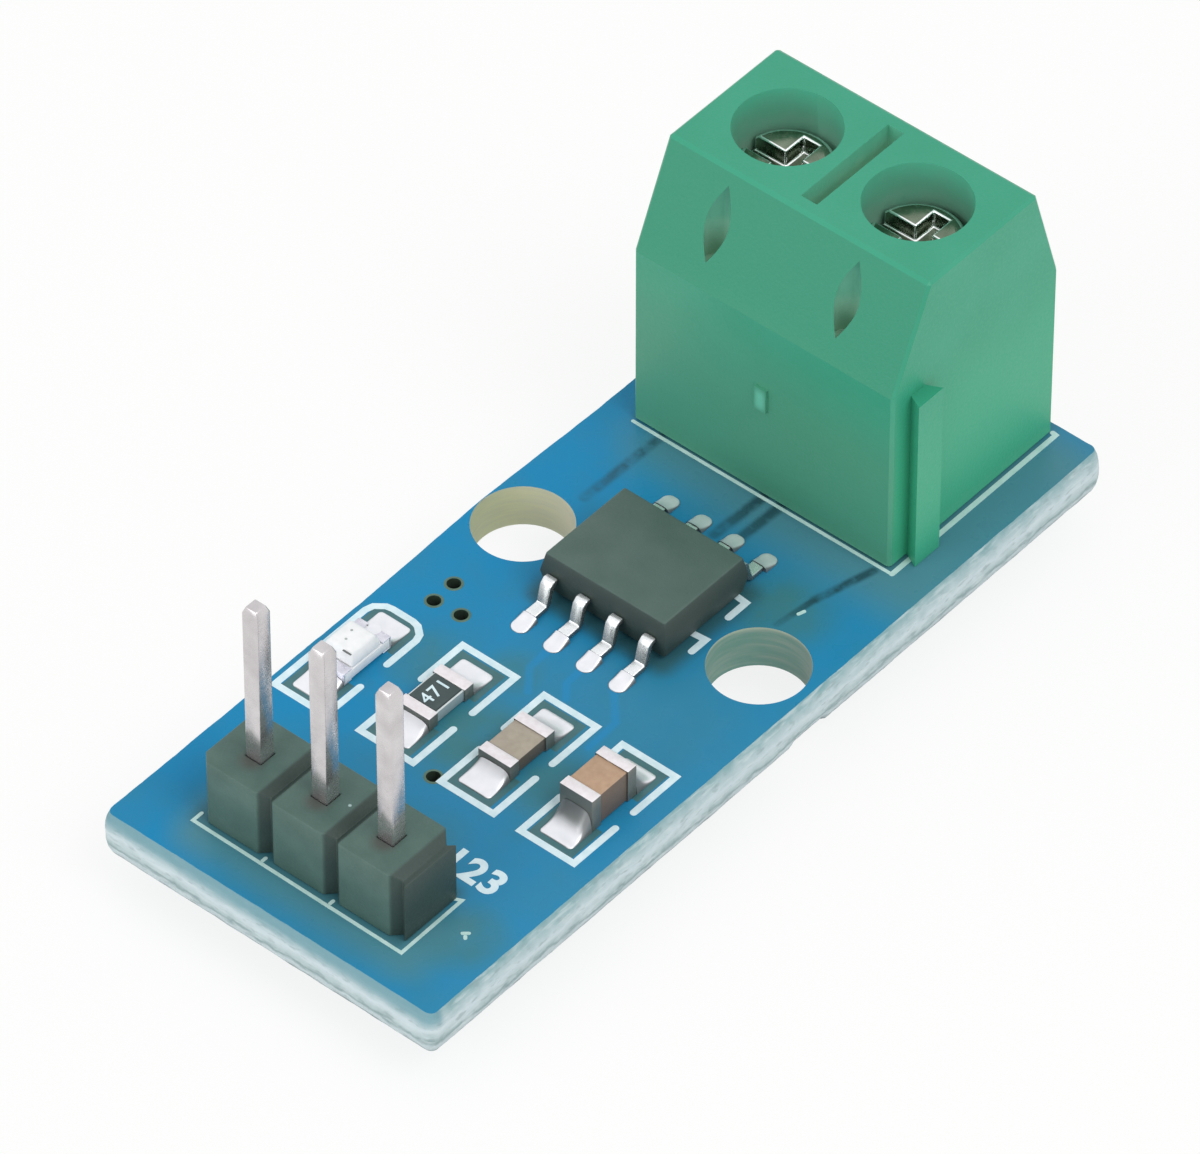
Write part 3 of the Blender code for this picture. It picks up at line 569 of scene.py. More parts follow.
def recess_material(name, top, bottom, light_gains=(1.0, 1.0)):
    """Green nylon inside a recess, browner with depth as painted shade, and scaled by a gain at
    the top and one at the foot as painted light and shade.
    """
    shader = Shader(name, (0.1, 0.2, 0.13), 0.5)
    depth = shader.minus(top, shader.z)
    share = shader.math("DIVIDE", depth, top - bottom, clamp=True)
    wave = shader.times(shader.minus(shader.noise(1.5), 0.5), 0.3)
    stops = [
        (0.0, (0.085, 0.46, 0.3)), (0.35, (0.12, 0.39, 0.27)),
        (0.75, (0.215, 0.385, 0.285)), (1.0, (0.27, 0.38, 0.29)),
    ]
    first, last = light_gains
    lit = []
    for spot, tone in stops:
        gain = first + (last - first) * spot
        lit.append((spot, tuple(part * gain for part in tone)))
    shader.colour(shader.ramp(shader.math("ADD", share, wave), lit))
    shader.bump(shader.noise(11.0, 4), 0.02, 0.3)
    return shader.material


def header_material():
    """Black moulding, greyed as in the photo, with painted shade in its grooves and a painted
    shadow and reflection round the foot of each pin.
    """
    shader = Shader("black_moulding", (0.06, 0.11, 0.1), 0.5)
    slow = shader.ramp(shader.noise(1.1), [
        (0.3, (0.055, 0.11, 0.092)), (0.7, (0.075, 0.14, 0.118)),
    ])
    # Painted shade in the grooves between the sections
    groove_shade = []
    for x in PIN_XS:
        off = shader.math("ABSOLUTE", shader.minus(shader.x, x + PIN_PITCH / 2))
        groove_shade.append(shader.fade(off, 0.22, 0.34, 0.85))
    tone = shader.mix(shader.largest(groove_shade), slow, (0.024, 0.042, 0.036))
    # Painted shadow and reflection round the foot of each pin
    pin_foot_shade = shader.largest([shader.near_spot(x, HEADER_Y - 0.35, 0.1, 0.6, 0.7) for x in PIN_XS])
    tone = shader.mix(pin_foot_shade, tone, (0.06, 0.05, 0.043))
    speck = shader.near_spot(0.62, -12.33, 0.03, 0.07, 0.9)
    shader.colour(shader.mix(speck, tone, (0.45, 0.6, 0.6)))
    fine = shader.noise(13.0, 4)
    shader.roughness(shader.grey(fine, [(0.3, 0.42), (0.7, 0.6)]))
    shader.bump(fine, 0.02, 0.5)
    return shader.material


# Looks by name; a side tone is painted shade and reflection on the standing faces
materials = {
    "mask": mask_material(),
    "fibre": fibre_material(),
    "hole": hole_material(),
    "via": mottled("via_wall", (0.02, 0.04, 0.028), (0.035, 0.055, 0.038), (0.4, 0.6)),
    "mark": mottled("mark_ink", (0.62, 0.8, 0.86), (0.76, 0.9, 0.94), (0.5, 0.65), scale=3.0),
    "thin_mark": mottled("thin_mark_ink", (0.44, 0.66, 0.62), (0.58, 0.78, 0.76), (0.5, 0.65)),
    "opening": mottled("mask_opening", (0.04, 0.135, 0.15), (0.052, 0.165, 0.18), (0.3, 0.5)),
    "housing": housing_material(),
    "bore": recess_material("bore_wall", TERMINAL_TOP, 10.8),
    "slot": recess_material("slot_wall", TERMINAL_TOP + 0.3, 12.0, (0.95, 2.0)),
    "leaf": recess_material("leaf_wall", 13.1, 9.9, (0.5, 1.77)),
    "header": header_material(),
    "chip": mottled("chip_moulding", (0.06, 0.108, 0.09), (0.076, 0.126, 0.108), (0.5, 0.65),
                    scale=0.9, grain=20.0, rise=0.012, strength=0.6, side=(0.036, 0.056, 0.048)),
    "pin": mottled("header_pin_tin", (0.56, 0.53, 0.54), (0.7, 0.67, 0.68), (0.2, 0.3), 0.9,
                   scale=1.2, grain=6.0, rise=0.002, strength=0.1),
    "lead": mottled("chip_lead_tin", (0.8, 0.83, 0.84), (0.92, 0.93, 0.94), (0.2, 0.34), 0.75,
                    scale=3.0, grain=8.0, rise=0.003, strength=0.15, side=(0.24, 0.26, 0.25)),
    "solder": mottled("solder_metal", (0.84, 0.85, 0.89), (0.94, 0.93, 0.97),
                      (0.32, 0.42), 0.6, scale=2.2, grain=4.0, rise=0.006, strength=0.2,
                      side=(0.24, 0.25, 0.25), lean=(0.55, 0.97)),
    "end": mottled("tinned_end_metal", (0.8, 0.74, 0.76), (0.9, 0.86, 0.88), (0.35, 0.55),
                   0.6, scale=5.0, grain=16.0, rise=0.012, strength=0.4, side=(0.19, 0.2, 0.18)),
    "ceramic": mottled("white_ceramic_body", (0.6, 0.66, 0.66), (0.74, 0.78, 0.78),
                       (0.35, 0.5), scale=4.0, grain=20.0, rise=0.008, side=(0.3, 0.38, 0.4)),
    "overcoat": mottled("resistor_overcoat", (0.03, 0.052, 0.054), (0.045, 0.07, 0.072),
                        (0.3, 0.45), scale=3.0),
    "grey_tan": mottled("grey_tan_body", (0.36, 0.31, 0.245), (0.43, 0.375, 0.3),
                        (0.4, 0.55), scale=4.0, grain=22.0, side=(0.11, 0.09, 0.07)),
    "orange_tan": mottled("orange_tan_body", (0.43, 0.275, 0.175), (0.5, 0.335, 0.22),
                          (0.4, 0.55), scale=4.0, grain=22.0, side=(0.14, 0.1, 0.075)),
    "resin": mottled("white_resin_body", (0.84, 0.85, 0.86), (0.92, 0.92, 0.93),
                     (0.3, 0.42), scale=3.0, grain=10.0),
    "led_end": mottled("diode_end_metal", (0.62, 0.61, 0.7), (0.8, 0.79, 0.86), (0.25, 0.4),
                       0.6, scale=4.0, grain=12.0, rise=0.006, strength=0.3),
    # Plated steel, darkened and tinted green as a painted reflection of the housing
    "steel": mottled("plated_steel_metal", (0.35, 0.41, 0.35), (0.48, 0.52, 0.46),
                     (0.14, 0.24), 1.0, scale=3.0, grain=6.0, rise=0.003, strength=0.15),
    # The screw's dark green tone is a painted reflection of its bore, and the glint on its
    # rounded edges a painted highlight
    "screw": mottled("screw_steel_metal", (0.15, 0.2, 0.14), (0.25, 0.29, 0.22),
                     (0.18, 0.3), 1.0, scale=3.0, grain=6.0, rise=0.003, strength=0.15),
    "glint": mottled("painted_glint_metal", (0.92, 0.94, 0.93), (0.98, 0.98, 0.98),
                     (0.12, 0.2), 1.0, scale=3.0, rise=0.002, strength=0.1),
    "brass": mottled("tinned_brass_metal", (0.62, 0.56, 0.44), (0.76, 0.7, 0.58),
                     (0.2, 0.4), 1.0, scale=2.5, grain=10.0),
    "rim": mottled("via_rim_mask", (0.06, 0.13, 0.09), (0.1, 0.18, 0.13), (0.35, 0.5)),
    # Dark line on the diode's lens, a painted shadow of its near edge
    "line": mottled("painted_lens_shadow", (0.1, 0.11, 0.11), (0.16, 0.17, 0.16), (0.4, 0.6)),
    "speck": mottled("grey_speck", (0.34, 0.38, 0.36), (0.44, 0.48, 0.46), (0.5, 0.6)),
}


# Circuit board with torn fibre edges

def edge_points():
    """Points round the board's outline as (x, y, outward x, outward y)."""
    reach_x, reach_y = BOARD_HALF_X - CORNER_RADIUS, BOARD_HALF_Y - CORNER_RADIUS
    points = []
    for quarter, (sx, sy) in enumerate(((1, -1), (1, 1), (-1, 1), (-1, -1))):
        for i in range(CORNER_STEPS + 1):
            angle = math.radians(90 * (quarter - 1 + i / CORNER_STEPS))
            out = (math.cos(angle), math.sin(angle))
            x, y = sx * reach_x + CORNER_RADIUS * out[0], sy * reach_y + CORNER_RADIUS * out[1]
            points.append((x, y, *out))
        length = 2 * (reach_y if quarter % 2 == 0 else reach_x)
        steps = round(length / EDGE_STEP)
        for i in range(1, steps):
            along = length * i / steps
            points.append((x - out[1] * along, y + out[0] * along, *out))
    return points


def board_levels():
    """(height, inset, raggedness) from the underside to the top."""
    low, high = BOARD_BOTTOM + SCORE_DEPTH, BOARD_TOP - SCORE_DEPTH
    web = [(low + (high - low) * i / 4, 0.0, WEB_RAGGED) for i in range(5)]
    inset = SCORE_INSET / 2
    below = [
        (BOARD_BOTTOM, SCORE_INSET, MASK_RAGGED), (low - SCORE_DEPTH / 2, inset, SLOPE_RAGGED),
    ]
    above = [
        (high + SCORE_DEPTH / 2, inset, SLOPE_RAGGED), (BOARD_TOP, SCORE_INSET, MASK_RAGGED),
    ]
    return below + web + above


def fixed_noise(x, y, z, across, upright):
    """Noise from 0 to 1 that depends on the place alone, with a scale for each way."""
    return 0.5 + 0.5 * noise.noise(Vector((x * across, y * across, z * upright)))


def board_blank():
    """Board without its holes, worn and torn round its edge."""
    shape = bmesh.new()
    rings = []
    for z, inset, ragged in board_levels():
        ring = []
        for px, py, ox, oy in edge_points():
            tear = fixed_noise(px, py, z, *TEAR_SCALES)
            fine = fixed_noise(px, py, z, *FINE_SCALES)
            step = inset + ragged * (TEAR_SHARE * tear + (1 - TEAR_SHARE) * fine)
            at_break = BREAK_LOW_Y < py < BREAK_HIGH_Y and z < BOARD_BOTTOM + SCORE_DEPTH
            if ox > LONG_SIDE and at_break:
                step += BREAK_DEPTH
            if ox < -LONG_SIDE:
                away = abs(py - MOUNTING_HOLES[0][1])
                step *= min(1.0, THIN_SHARE + away / THIN_REACH)
            ring.append(shape.verts.new((px - ox * step, py - oy * step, z)))
        rings.append(ring)
    count = len(rings[0])
    for lower, upper in zip(rings, rings[1:]):
        for i in range(count):
            after = (i + 1) % count
            shape.faces.new((lower[i], lower[after], upper[after], upper[i]))
    shape.faces.new(reversed(rings[0]))
    shape.faces.new(rings[-1])
    return shape


def hole_list():
    """(x, y, radius, number of sides) of every hole in the board."""
    holes = [(x, y, MOUNTING_RADIUS, MOUNTING_STEPS) for x, y in MOUNTING_HOLES]
    holes += [(x, HEADER_Y, HEADER_HOLE_RADIUS, HOLE_STEPS) for x in PIN_XS]
    holes += [(x, LEG_Y, TERMINAL_HOLE_RADIUS, HOLE_STEPS) for x in POLE_XS]
    holes += [(x, y, VIA_RADIUS, VIA_STEPS) for x, y in VIAS]
    return holes


def cylinder(x, y, radius, low, high, steps):
    """Upright cylinder round (x, y)."""
    shape = bmesh.new()
    spot = Matrix.Translation((x, y, (low + high) / 2))
    bmesh.ops.create_cone(shape, cap_ends=True, segments=steps, radius1=radius,
                          radius2=radius, depth=high - low, matrix=spot)
    return shape


def gather(shapes):
    """One bmesh out of several, which are freed."""
    total = bmesh.new()
    for shape in shapes:
        mesh = bpy.data.meshes.new("part")
        shape.to_mesh(mesh)
        shape.free()
        total.from_mesh(mesh)
        bpy.data.meshes.remove(mesh)
    return total


def make_board():
    board = new_piece("board_dressed", board_blank())
    low, high = BOARD_BOTTOM - DRILL_REACH, BOARD_TOP + DRILL_REACH
    drills = [cylinder(x, y, radius, low, high, steps) for x, y, radius, steps in hole_list()]
    cutter = new_piece("drills", gather(drills))
    cut = board.modifiers.new("drills", "BOOLEAN")
    cut.operation = "DIFFERENCE"
    cut.solver = "EXACT"
    cut.object = cutter
    baked(board)
    bpy.data.objects.remove(cutter)
    paint(board, ("mask", "fibre", "hole", "via"))
    for face in board.data.polygons:
        face.material_index = board_face_kind(face)
    smooth(board, BOARD_SMOOTH_ANGLE)
    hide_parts("circuit_board")


def board_face_kind(face):
    """0 for the mask, 1 for the cut edge, 2 for the wall of a hole, 3 for that of a via."""
    if abs(face.normal.z) > LYING:
        return 0
    x, y = face.center.x / MM, face.center.y / MM
    for hx, hy, radius, _ in hole_list():
        inwards = face.normal.x * (hx - x) + face.normal.y * (hy - y) > 0
        if inwards and abs(math.hypot(x - hx, y - hy) - radius) < WALL_SLACK:
            return 3 if radius == VIA_RADIUS else 2
    return 1


# Flat marks on the board

MARKS = (
    # diode, with its far corners rounded
    ((-4.0, -6.66), (-4.0, -8.2), (-6.0, -8.2), (-6.0, -4.15), (-5.92, -3.88), (-5.62, -3.64),
     (-5.4, -3.6), (-4.6, -3.6), (-4.36, -3.66), (-4.08, -3.9), (-4.0, -4.15), (-4.0, -5.46)),
    # resistor
    ((-0.76, -6.2), (-0.76, -8.01), (-2.83, -8.01), (-2.83, -6.55)),
    ((-2.83, -5.25), (-2.83, -3.39), (-0.76, -3.39), (-0.76, -5.34)),
    # low capacitor
    ((2.39, -6.17), (2.39, -8.05), (0.36, -8.05), (0.36, -6.3)),
    ((0.36, -5.2), (0.36, -3.4), (2.39, -3.4), (2.39, -5.4)),
    # tall capacitor
    ((5.48, -6.19), (5.48, -8.05), (3.43, -8.05), (3.43, -6.25)),
    ((3.43, -5.3), (3.43, -3.45), (5.48, -3.45), (5.48, -5.36)),
    # beside the sensor chip
    ((2.43, 2.59), (2.43, 3.4), (1.97, 3.44)),
    ((2.51, 0.8), (2.51, 1.44), (2.04, 1.4)),
)
SIDE_MARKS = (
    # terminal, its right side
    ((4.97, 7.15), (4.97, 14.93), (4.84, 14.95)),
)
THIN_MARKS = (
    # header, with a tick between its sections
    ((-4.12, -13.55), (-4.12, -13.93), (4.0, -13.99), (3.97, -11.28), (3.64, -11.44)),
    ((-1.49, -13.84), (-1.49, -13.7)),
    ((1.14, -13.86), (1.14, -13.72)),
    # terminal, its front side
    ((-5.14, 7.14), (4.96, 7.14)),
    # stray ticks
    ((4.84, -12.26), (4.98, -12.14)),
    ((4.98, -12.3), (5.03, -12.36)),
    ((3.92, 4.05), (3.98, 4.25)),
)


def rails(points, width):
    """Left and right edges of a band along a path, with its corners mitred."""
    left, right = [], []
    for i, point in enumerate(points):
        ways = []
        if i:
            ways.append((point - points[i - 1]).normalized())
        if i < len(points) - 1:
            ways.append((points[i + 1] - point).normalized())
        along = sum(ways, Vector((0, 0))).normalized()
        across = Vector((-along.y, along.x)) * width / 2 / along.dot(ways[0])
        left.append(point + across)
        right.append(point - across)
    return left, right


def round_end(end, before, width):
    """Half circle round the end of a band, from its left edge to its right edge."""
    along = (end - before).normalized()
    across = Vector((-along.y, along.x))
    angles = [math.pi / 2 - math.pi * i / CAP_STEPS for i in range(1, CAP_STEPS)]
    return [end + (along * math.cos(a) + across * math.sin(a)) * width / 2 for a in angles]


def add_plate(shape, outline, low, high):
    """Upright prism over an outline of (x, y) points."""
    rings = [[shape.verts.new((p[0], p[1], z)) for p in outline] for z in (low, high)]
    count = len(outline)
    for i in range(count):
        after = (i + 1) % count
        shape.faces.new((rings[0][i], rings[0][after], rings[1][after], rings[1][i]))
    shape.faces.new(rings[0][::-1])
    shape.faces.new(rings[1])


def add_band(shape, points, width, low, high):
    """Strip along points with round ends."""
    left, right = rails(points, width)
    levels = [[[shape.verts.new((p.x, p.y, z)) for p in side] for side in (left, right)]
              for z in (low, high)]
    for i in range(len(points) - 1):
        for rows, order in zip(levels, (-1, 1)):
            quad = [rows[1][i], rows[1][i + 1], rows[0][i + 1], rows[0][i]]
            shape.faces.new(quad[::order])
        for side in (0, 1):
            low_row, high_row = levels[0][side], levels[1][side]
            shape.faces.new((low_row[i], low_row[i + 1], high_row[i + 1], high_row[i]))
    ends = ((points[-1], points[-2], -1, 0, 1), (points[0], points[1], 0, 1, 0))
    for end, before, place, first, last in ends:
        rounds = round_end(end, before, width)
        caps = []
        for z, rows in zip((low, high), levels):
            arc = [shape.verts.new((p.x, p.y, z)) for p in rounds]
            caps.append([rows[first][place]] + arc + [rows[last][place]])
            shape.faces.new(caps[-1])
        for i in range(len(caps[0]) - 1):
            shape.faces.new((caps[0][i], caps[0][i + 1], caps[1][i + 1], caps[1][i]))


def make_marks():
    low = BOARD_TOP + MARK_GAP
    for name, paths, width, ink, rise in (
        ("printed_marks", MARKS, MARK_WIDTH, "mark", MARK_RISE),
        ("thin_marks", THIN_MARKS, THIN_MARK, "thin_mark", MARK_RISE),
        ("side_mark", SIDE_MARKS, SIDE_MARK, "thin_mark", SIDE_MARK_RISE),
    ):
        shape = bmesh.new()
        for path in paths:
            add_band(shape, [Vector(point) for point in path], width, low, BOARD_TOP + rise)
        paint(new_piece(name, shape), [ink])
    number_mesh("pin_numbers", "123", PIN_NUMBERS_PLACE, PIN_NUMBERS_HEIGHT, "mark",
                turn=0, spacing=1.08, weight=0.045)


def number_mesh(name, text, place, height, look, turn, spacing, weight):
    """Plain digits as a thin mesh, centred on a place and turned about Z."""
    curve = bpy.data.curves.new(name, "FONT")
    curve.body = text
    curve.align_x = "CENTER"
    curve.align_y = "CENTER"
    curve.size = height * MM
    curve.extrude = MARK_RISE / 2 * MM
    curve.offset = weight * MM
    curve.space_character = spacing
    made = new_object(name, curve)
    made.location = (Vector(place) + Vector((0, 0, MARK_RISE / 2))) * MM
    made.rotation_euler = (0, 0, math.radians(turn))
    bpy.context.view_layer.update()
    graph = bpy.context.evaluated_depsgraph_get()
    mesh = bpy.data.meshes.new_from_object(made.evaluated_get(graph))
    mesh.transform(made.matrix_world)
    bpy.data.objects.remove(made)
    paint(place_mesh(name, mesh, "board"), [look])


def make_via_rims():
    """Low ring of mask round each via."""
    shape = bmesh.new()
    low, high = BOARD_TOP + MARK_GAP, BOARD_TOP + VIA_RIM_RISE
    outer = VIA_RADIUS + VIA_RIM
    crest = outer - VIA_RIM_SLOPE
    section = ((VIA_RADIUS, low), (outer, low), (crest, high), (VIA_RADIUS, high))
    for x, y in VIAS:
        rings = []
        for radius, z in section:
            ring = []
            for i in range(HOLE_STEPS):
                angle = 2 * math.pi * i / HOLE_STEPS
                spot = (x + radius * math.cos(angle), y + radius * math.sin(angle), z)
                ring.append(shape.verts.new(spot))
            rings.append(ring)
        for a, b in zip(rings, rings[1:] + rings[:1]):
            for i in range(HOLE_STEPS):
                after = (i + 1) % HOLE_STEPS
                shape.faces.new((a[i], a[after], b[after], b[i]))
    rims = new_piece("via_rims", shape)
    paint(rims, ["rim"])


# Solder

CHIP_PARTS = ("led", "resistor", "low_capacitor", "tall_capacitor")
OPENING_MARGIN = 0.22
OPENING_LOW = BOARD_TOP + 0.0005
OPENING_HIGH = BOARD_TOP + 0.0015
BLOB_ROWS = 18
BLOB_COLUMNS = 16
BLOB_BASE = BOARD_TOP + 0.003
BLOB_FOOT = 0.002
BLOB_SKIN = 0.05
BLOB_WAVE = 0.012
BLOB_LEAST_HALF = 0.02
BLOB_CROWDING = 1.4
BLOB_FLATNESS = 5
# (rounding of the toe, power of the climb) of a fillet
PART_FILLET = (0.14, 2.8)
LEAD_FILLET = (0.28, 2.2)


def node_box(node):
    """Low and high corner of a CAD node."""
    low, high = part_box(node)
    return low / MM, high / MM


def make_openings():
    """Dark margin round each pad, where the mask leaves the laminate bare."""
    shape = bmesh.new()
    for part in CHIP_PARTS:
        for side in ("near", "far"):
            low, high = node_box(f"{part}_solder_{side}")
            x0, x1 = low.x - OPENING_MARGIN, high.x + OPENING_MARGIN
            y0, y1 = low.y - OPENING_MARGIN, high.y + OPENING_MARGIN
            outline = ((x0, y0), (x1, y0), (x1, y1), (x0, y1))
            add_plate(shape, outline, OPENING_LOW, OPENING_HIGH)
    openings = new_piece("mask_openings", shape)
    paint(openings, ["opening"])


def blob_grid(shape, box, toe, heel, fillet):
    """Rows of points over a fillet, from its toe to its heel."""
    low, high = box
    round_toe, climb = fillet
    x, width, height = (low.x + high.x) / 2, high.x - low.x, high.z - BOARD_TOP
    reach = abs(heel - toe)
    way = 1 if heel > toe else -1
    grid = []
    for j in range(BLOB_ROWS + 1):
        off = reach * (j / BLOB_ROWS) ** BLOB_CROWDING
        share = off / reach
        corner = 1.0
        if off < round_toe:
            corner = math.sqrt(max(0.0, 1 - (1 - off / round_toe) ** 2))
        half = max(width / 2 - round_toe * (1 - corner), BLOB_LEAST_HALF)
        rise = BLOB_SKIN * corner + (height - BLOB_SKIN) * share ** climb
        row = []
        for i in range(BLOB_COLUMNS + 1):
            u = math.sin(math.pi / 2 * (-1 + 2 * i / BLOB_COLUMNS))
            side = math.sqrt(max(0.0, 1 - abs(u) ** BLOB_FLATNESS))
            wave = BLOB_WAVE * noise.noise(Vector((x * 3 + u, off * 4, toe)))
            z = BLOB_BASE + side * (rise + wave * share)
            row.append(shape.verts.new((x + u * half, toe + way * off, z)))
        grid.append(row)
    return grid


def solder_blob(node, from_near, fillet):
    """Pad and concave fillet, from a toe up to the part's end at its heel."""
    box = node_box(node)
    low, high = box
    toe, heel = (low.y, high.y) if from_near else (high.y, low.y)
    shape = bmesh.new()
    grid = blob_grid(shape, box, toe, heel, fillet)
    for a, b in zip(grid, grid[1:]):
        for i in range(BLOB_COLUMNS):
            shape.faces.new((a[i], a[i + 1], b[i + 1], b[i]))
    sides = [row[-1] for row in grid[1:-1]], [row[0] for row in grid[-2:0:-1]]
    rim = grid[0] + sides[0] + grid[-1][::-1] + sides[1]
    foot_z = BLOB_BASE - BLOB_FOOT
    foot = [shape.verts.new((vert.co.x, vert.co.y, foot_z)) for vert in rim]
    for i in range(len(rim)):
        after = (i + 1) % len(rim)
        shape.faces.new((rim[i], rim[after], foot[after], foot[i]))
    shape.faces.new(foot)
    blob = new_piece(node + "_dressed", shape)
    paint(blob, ["solder"])
    smooth(blob, BLOB_SMOOTH_ANGLE)
    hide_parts(node)


def make_blobs():
    for part in CHIP_PARTS:
        for side in ("near", "far"):
            solder_blob(f"{part}_solder_{side}", side == "near", PART_FILLET)
    for number in range(1, CHIP_LEADS + 1):
        from_near = number <= CHIP_LEADS / 2
        solder_blob(f"chip_solder_{number}", from_near, LEAD_FILLET)


# Chip parts

OVERCOAT_HALF_X = 0.53
OVERCOAT_HALF_Y = 0.6
OVERCOAT_RISE = 0.03
OVERCOAT_SINK = 0.02
LENS_MARK_RISE = 0.006
LENS_MARK_SINK = 0.01
DIODE_DOTS = ((-0.16, 0.2), (-0.05, -0.18))
DIODE_DOT_RADIUS = 0.045
# Dark line along the lens's near edge, a painted shadow of that edge
DIODE_LINE_START = 0.44
DIODE_LINE_END = 0.12
DIODE_LINE_INSET = 0.09
DIODE_LINE_WIDTH = 0.06
DIODE_NOTCH_RADIUS = 0.24
DIODE_NOTCH_INSET = 0.02


def slab(name, low, high, edge, look):
    """Rounded thin block."""
    shape = bmesh.new()
    low, high = Vector(low), Vector(high)
    spot = Matrix.Translation((low + high) / 2)
    bmesh.ops.create_cube(shape, size=1.0, matrix=spot @ Matrix.Diagonal((*(high - low), 1)))
    bmesh.ops.bevel(shape, geom=shape.edges[:], offset=edge, segments=2, affect="EDGES")
    made = new_piece(name, shape)
    paint(made, [look])
    smooth(made)


def make_resistor_top():
    low, high = node_box("resistor_body")
    x, y = (low.x + high.x) / 2, (low.y + high.y) / 2
    top = high.z
    slab("resistor_overcoat",
         (x - OVERCOAT_HALF_X, y - OVERCOAT_HALF_Y, top - OVERCOAT_SINK),
         (x + OVERCOAT_HALF_X, y + OVERCOAT_HALF_Y, top + OVERCOAT_RISE),
         OVERCOAT_EDGE, "overcoat")
    place = (x, y, top + OVERCOAT_RISE + MARK_GAP)
    number_mesh("resistor_code", "471", place, RESISTOR_CODE_HEIGHT, "mark",
                turn=90, spacing=1.12, weight=0.006)


def make_diode_details():
    low, high = node_box("led_lens")
    x, y = (low.x + high.x) / 2, (low.y + high.y) / 2
    base, top = high.z - LENS_MARK_SINK, high.z + LENS_MARK_RISE
    dots = [cylinder(x + dx, y + dy, DIODE_DOT_RADIUS, base, top, 12) for dx, dy in DIODE_DOTS]
    paint(new_piece("diode_dots", gather(dots)), ["speck"])
    # Painted shadow along the lens's near edge
    line_y = low.y + DIODE_LINE_INSET
    path = [Vector((high.x - off, line_y)) for off in (DIODE_LINE_START, DIODE_LINE_END)]
    left, right = rails(path, DIODE_LINE_WIDTH)
    shape = bmesh.new()
    add_plate(shape, left + right[::-1], base, top)
    paint(new_piece("diode_edge_shadow", shape), ["line"])
    low, high = node_box("led_base")
    inset = DIODE_NOTCH_INSET
    fills = [
        cylinder(x, y, DIODE_NOTCH_RADIUS, low.z, high.z - inset, HOLE_STEPS)
        for y in (low.y + inset, high.y - inset)
    ]
    filled = new_piece("diode_notch_solder", gather(fills))
    paint(filled, ["solder"])


def make_parts():
    for part in CHIP_PARTS:
        metal, width = ("led_end", DIODE_END_EDGE) if part == "led" else ("end", END_EDGE)
        ends = [f"{part}_end_{side}" for side in ("near", "far")]
        dress(ends, width, [metal])
    dress(["resistor_body"], BODY_EDGE, ["ceramic"])
    dress(["low_capacitor_body"], BODY_EDGE, ["grey_tan"])
    dress(["tall_capacitor_body"], BODY_EDGE, ["orange_tan"])
    dress(["led_base"], BODY_EDGE, ["resin"])
    dress(["led_lens"], LENS_EDGE, ["resin"], 3)
    make_resistor_top()
    make_diode_details()
    make_openings()
    make_blobs()


def make_chip():
    dress(["chip_body"], CHIP_EDGE, ["chip"])
    leads = [f"chip_lead_{i}" for i in range(1, CHIP_LEADS + 1)]
    dress(leads, LEAD_EDGE, ["lead"])


def make_header():
    dress(["header_base"], HEADER_EDGE, ["header"], 3)
    numbers = range(1, len(PIN_XS) + 1)
    pins = [f"header_pin_{i}" for i in numbers]
    dress(pins, PIN_EDGE, ["pin"], 3)
    tails = [f"header_solder_{i}" for i in numbers]
    tails += [f"terminal_solder_{side}" for side in SIDES]
    dress(tails, TAIL_EDGE, ["solder"])


def housing_face_kind(face):
    """0 for the outer faces, 1 inside a bore, 2 inside the top slot, 3 inside a leaf recess."""
    x, y, z = face.center / MM
    if z > TERMINAL_TOP - FACE_SLACK or z < RECESSES_LOW:
        return 0
    square = abs(face.normal.z) < STANDING or face.normal.z > LYING
    for pole in POLE_XS:
        if math.hypot(x - pole, y - SCREW_Y) < BORE_RADIUS + FACE_SLACK:
            return 1
        if square and abs(x - pole) < LEAF_HALF_WIDTH and LEAF_NEAR_Y < y < LEAF_FAR_Y:
            return 3
    off_x, off_y = abs(x - TERMINAL_MIDDLE_X), abs(y - SCREW_Y)
    return 2 if off_x < SLOT_HALF_WIDTH and off_y < SLOT_HALF_LENGTH else 0


def make_terminal():
    housing = copy_node("terminal_housing", "board")
    paint(housing, ("housing", "bore", "slot", "leaf"))
    smooth(housing)
    for face in housing.data.polygons:
        face.material_index = housing_face_kind(face)
        face.use_smooth = face.material_index in (1, 3)
    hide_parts("terminal_housing")
    slab("groove_wall", GROOVE_WALL_LOW, GROOVE_WALL_HIGH, GROOVE_WALL_EDGE,
         "housing")
    for side in SIDES:
        # Screws in a painted dark reflection of their bores, with a painted highlight on their
        # rounded edges
        dress([f"terminal_screw_{side}"], SCREW_EDGE, ["screw", "glint"],
              body=f"screw_{side}")
        dress([f"clamp_cage_{side}"], CAGE_EDGE, ["steel"],
              body=f"cage_{side}")
        dress([f"terminal_contact_{side}"], CONTACT_EDGE, ["brass"])


# Stage and lights, with places and sizes in metres

FLOOR_HALF = 1.5
FLOOR_DROP = 0.00005
FLOOR_GLOW = 0.86
WORLD_LIGHT = 0.72
LAMP_AIM = Vector((0, 0, 0.005))
# (name, place, size, power in watts)
LAMPS = (
    ("key", (0.3, -0.02, 0.4), 0.3, 0.85), ("fill", (-0.12, -0.48, 0.2), 0.4, 0.85),
)
CLIP_START = 0.01
CLIP_END = 10


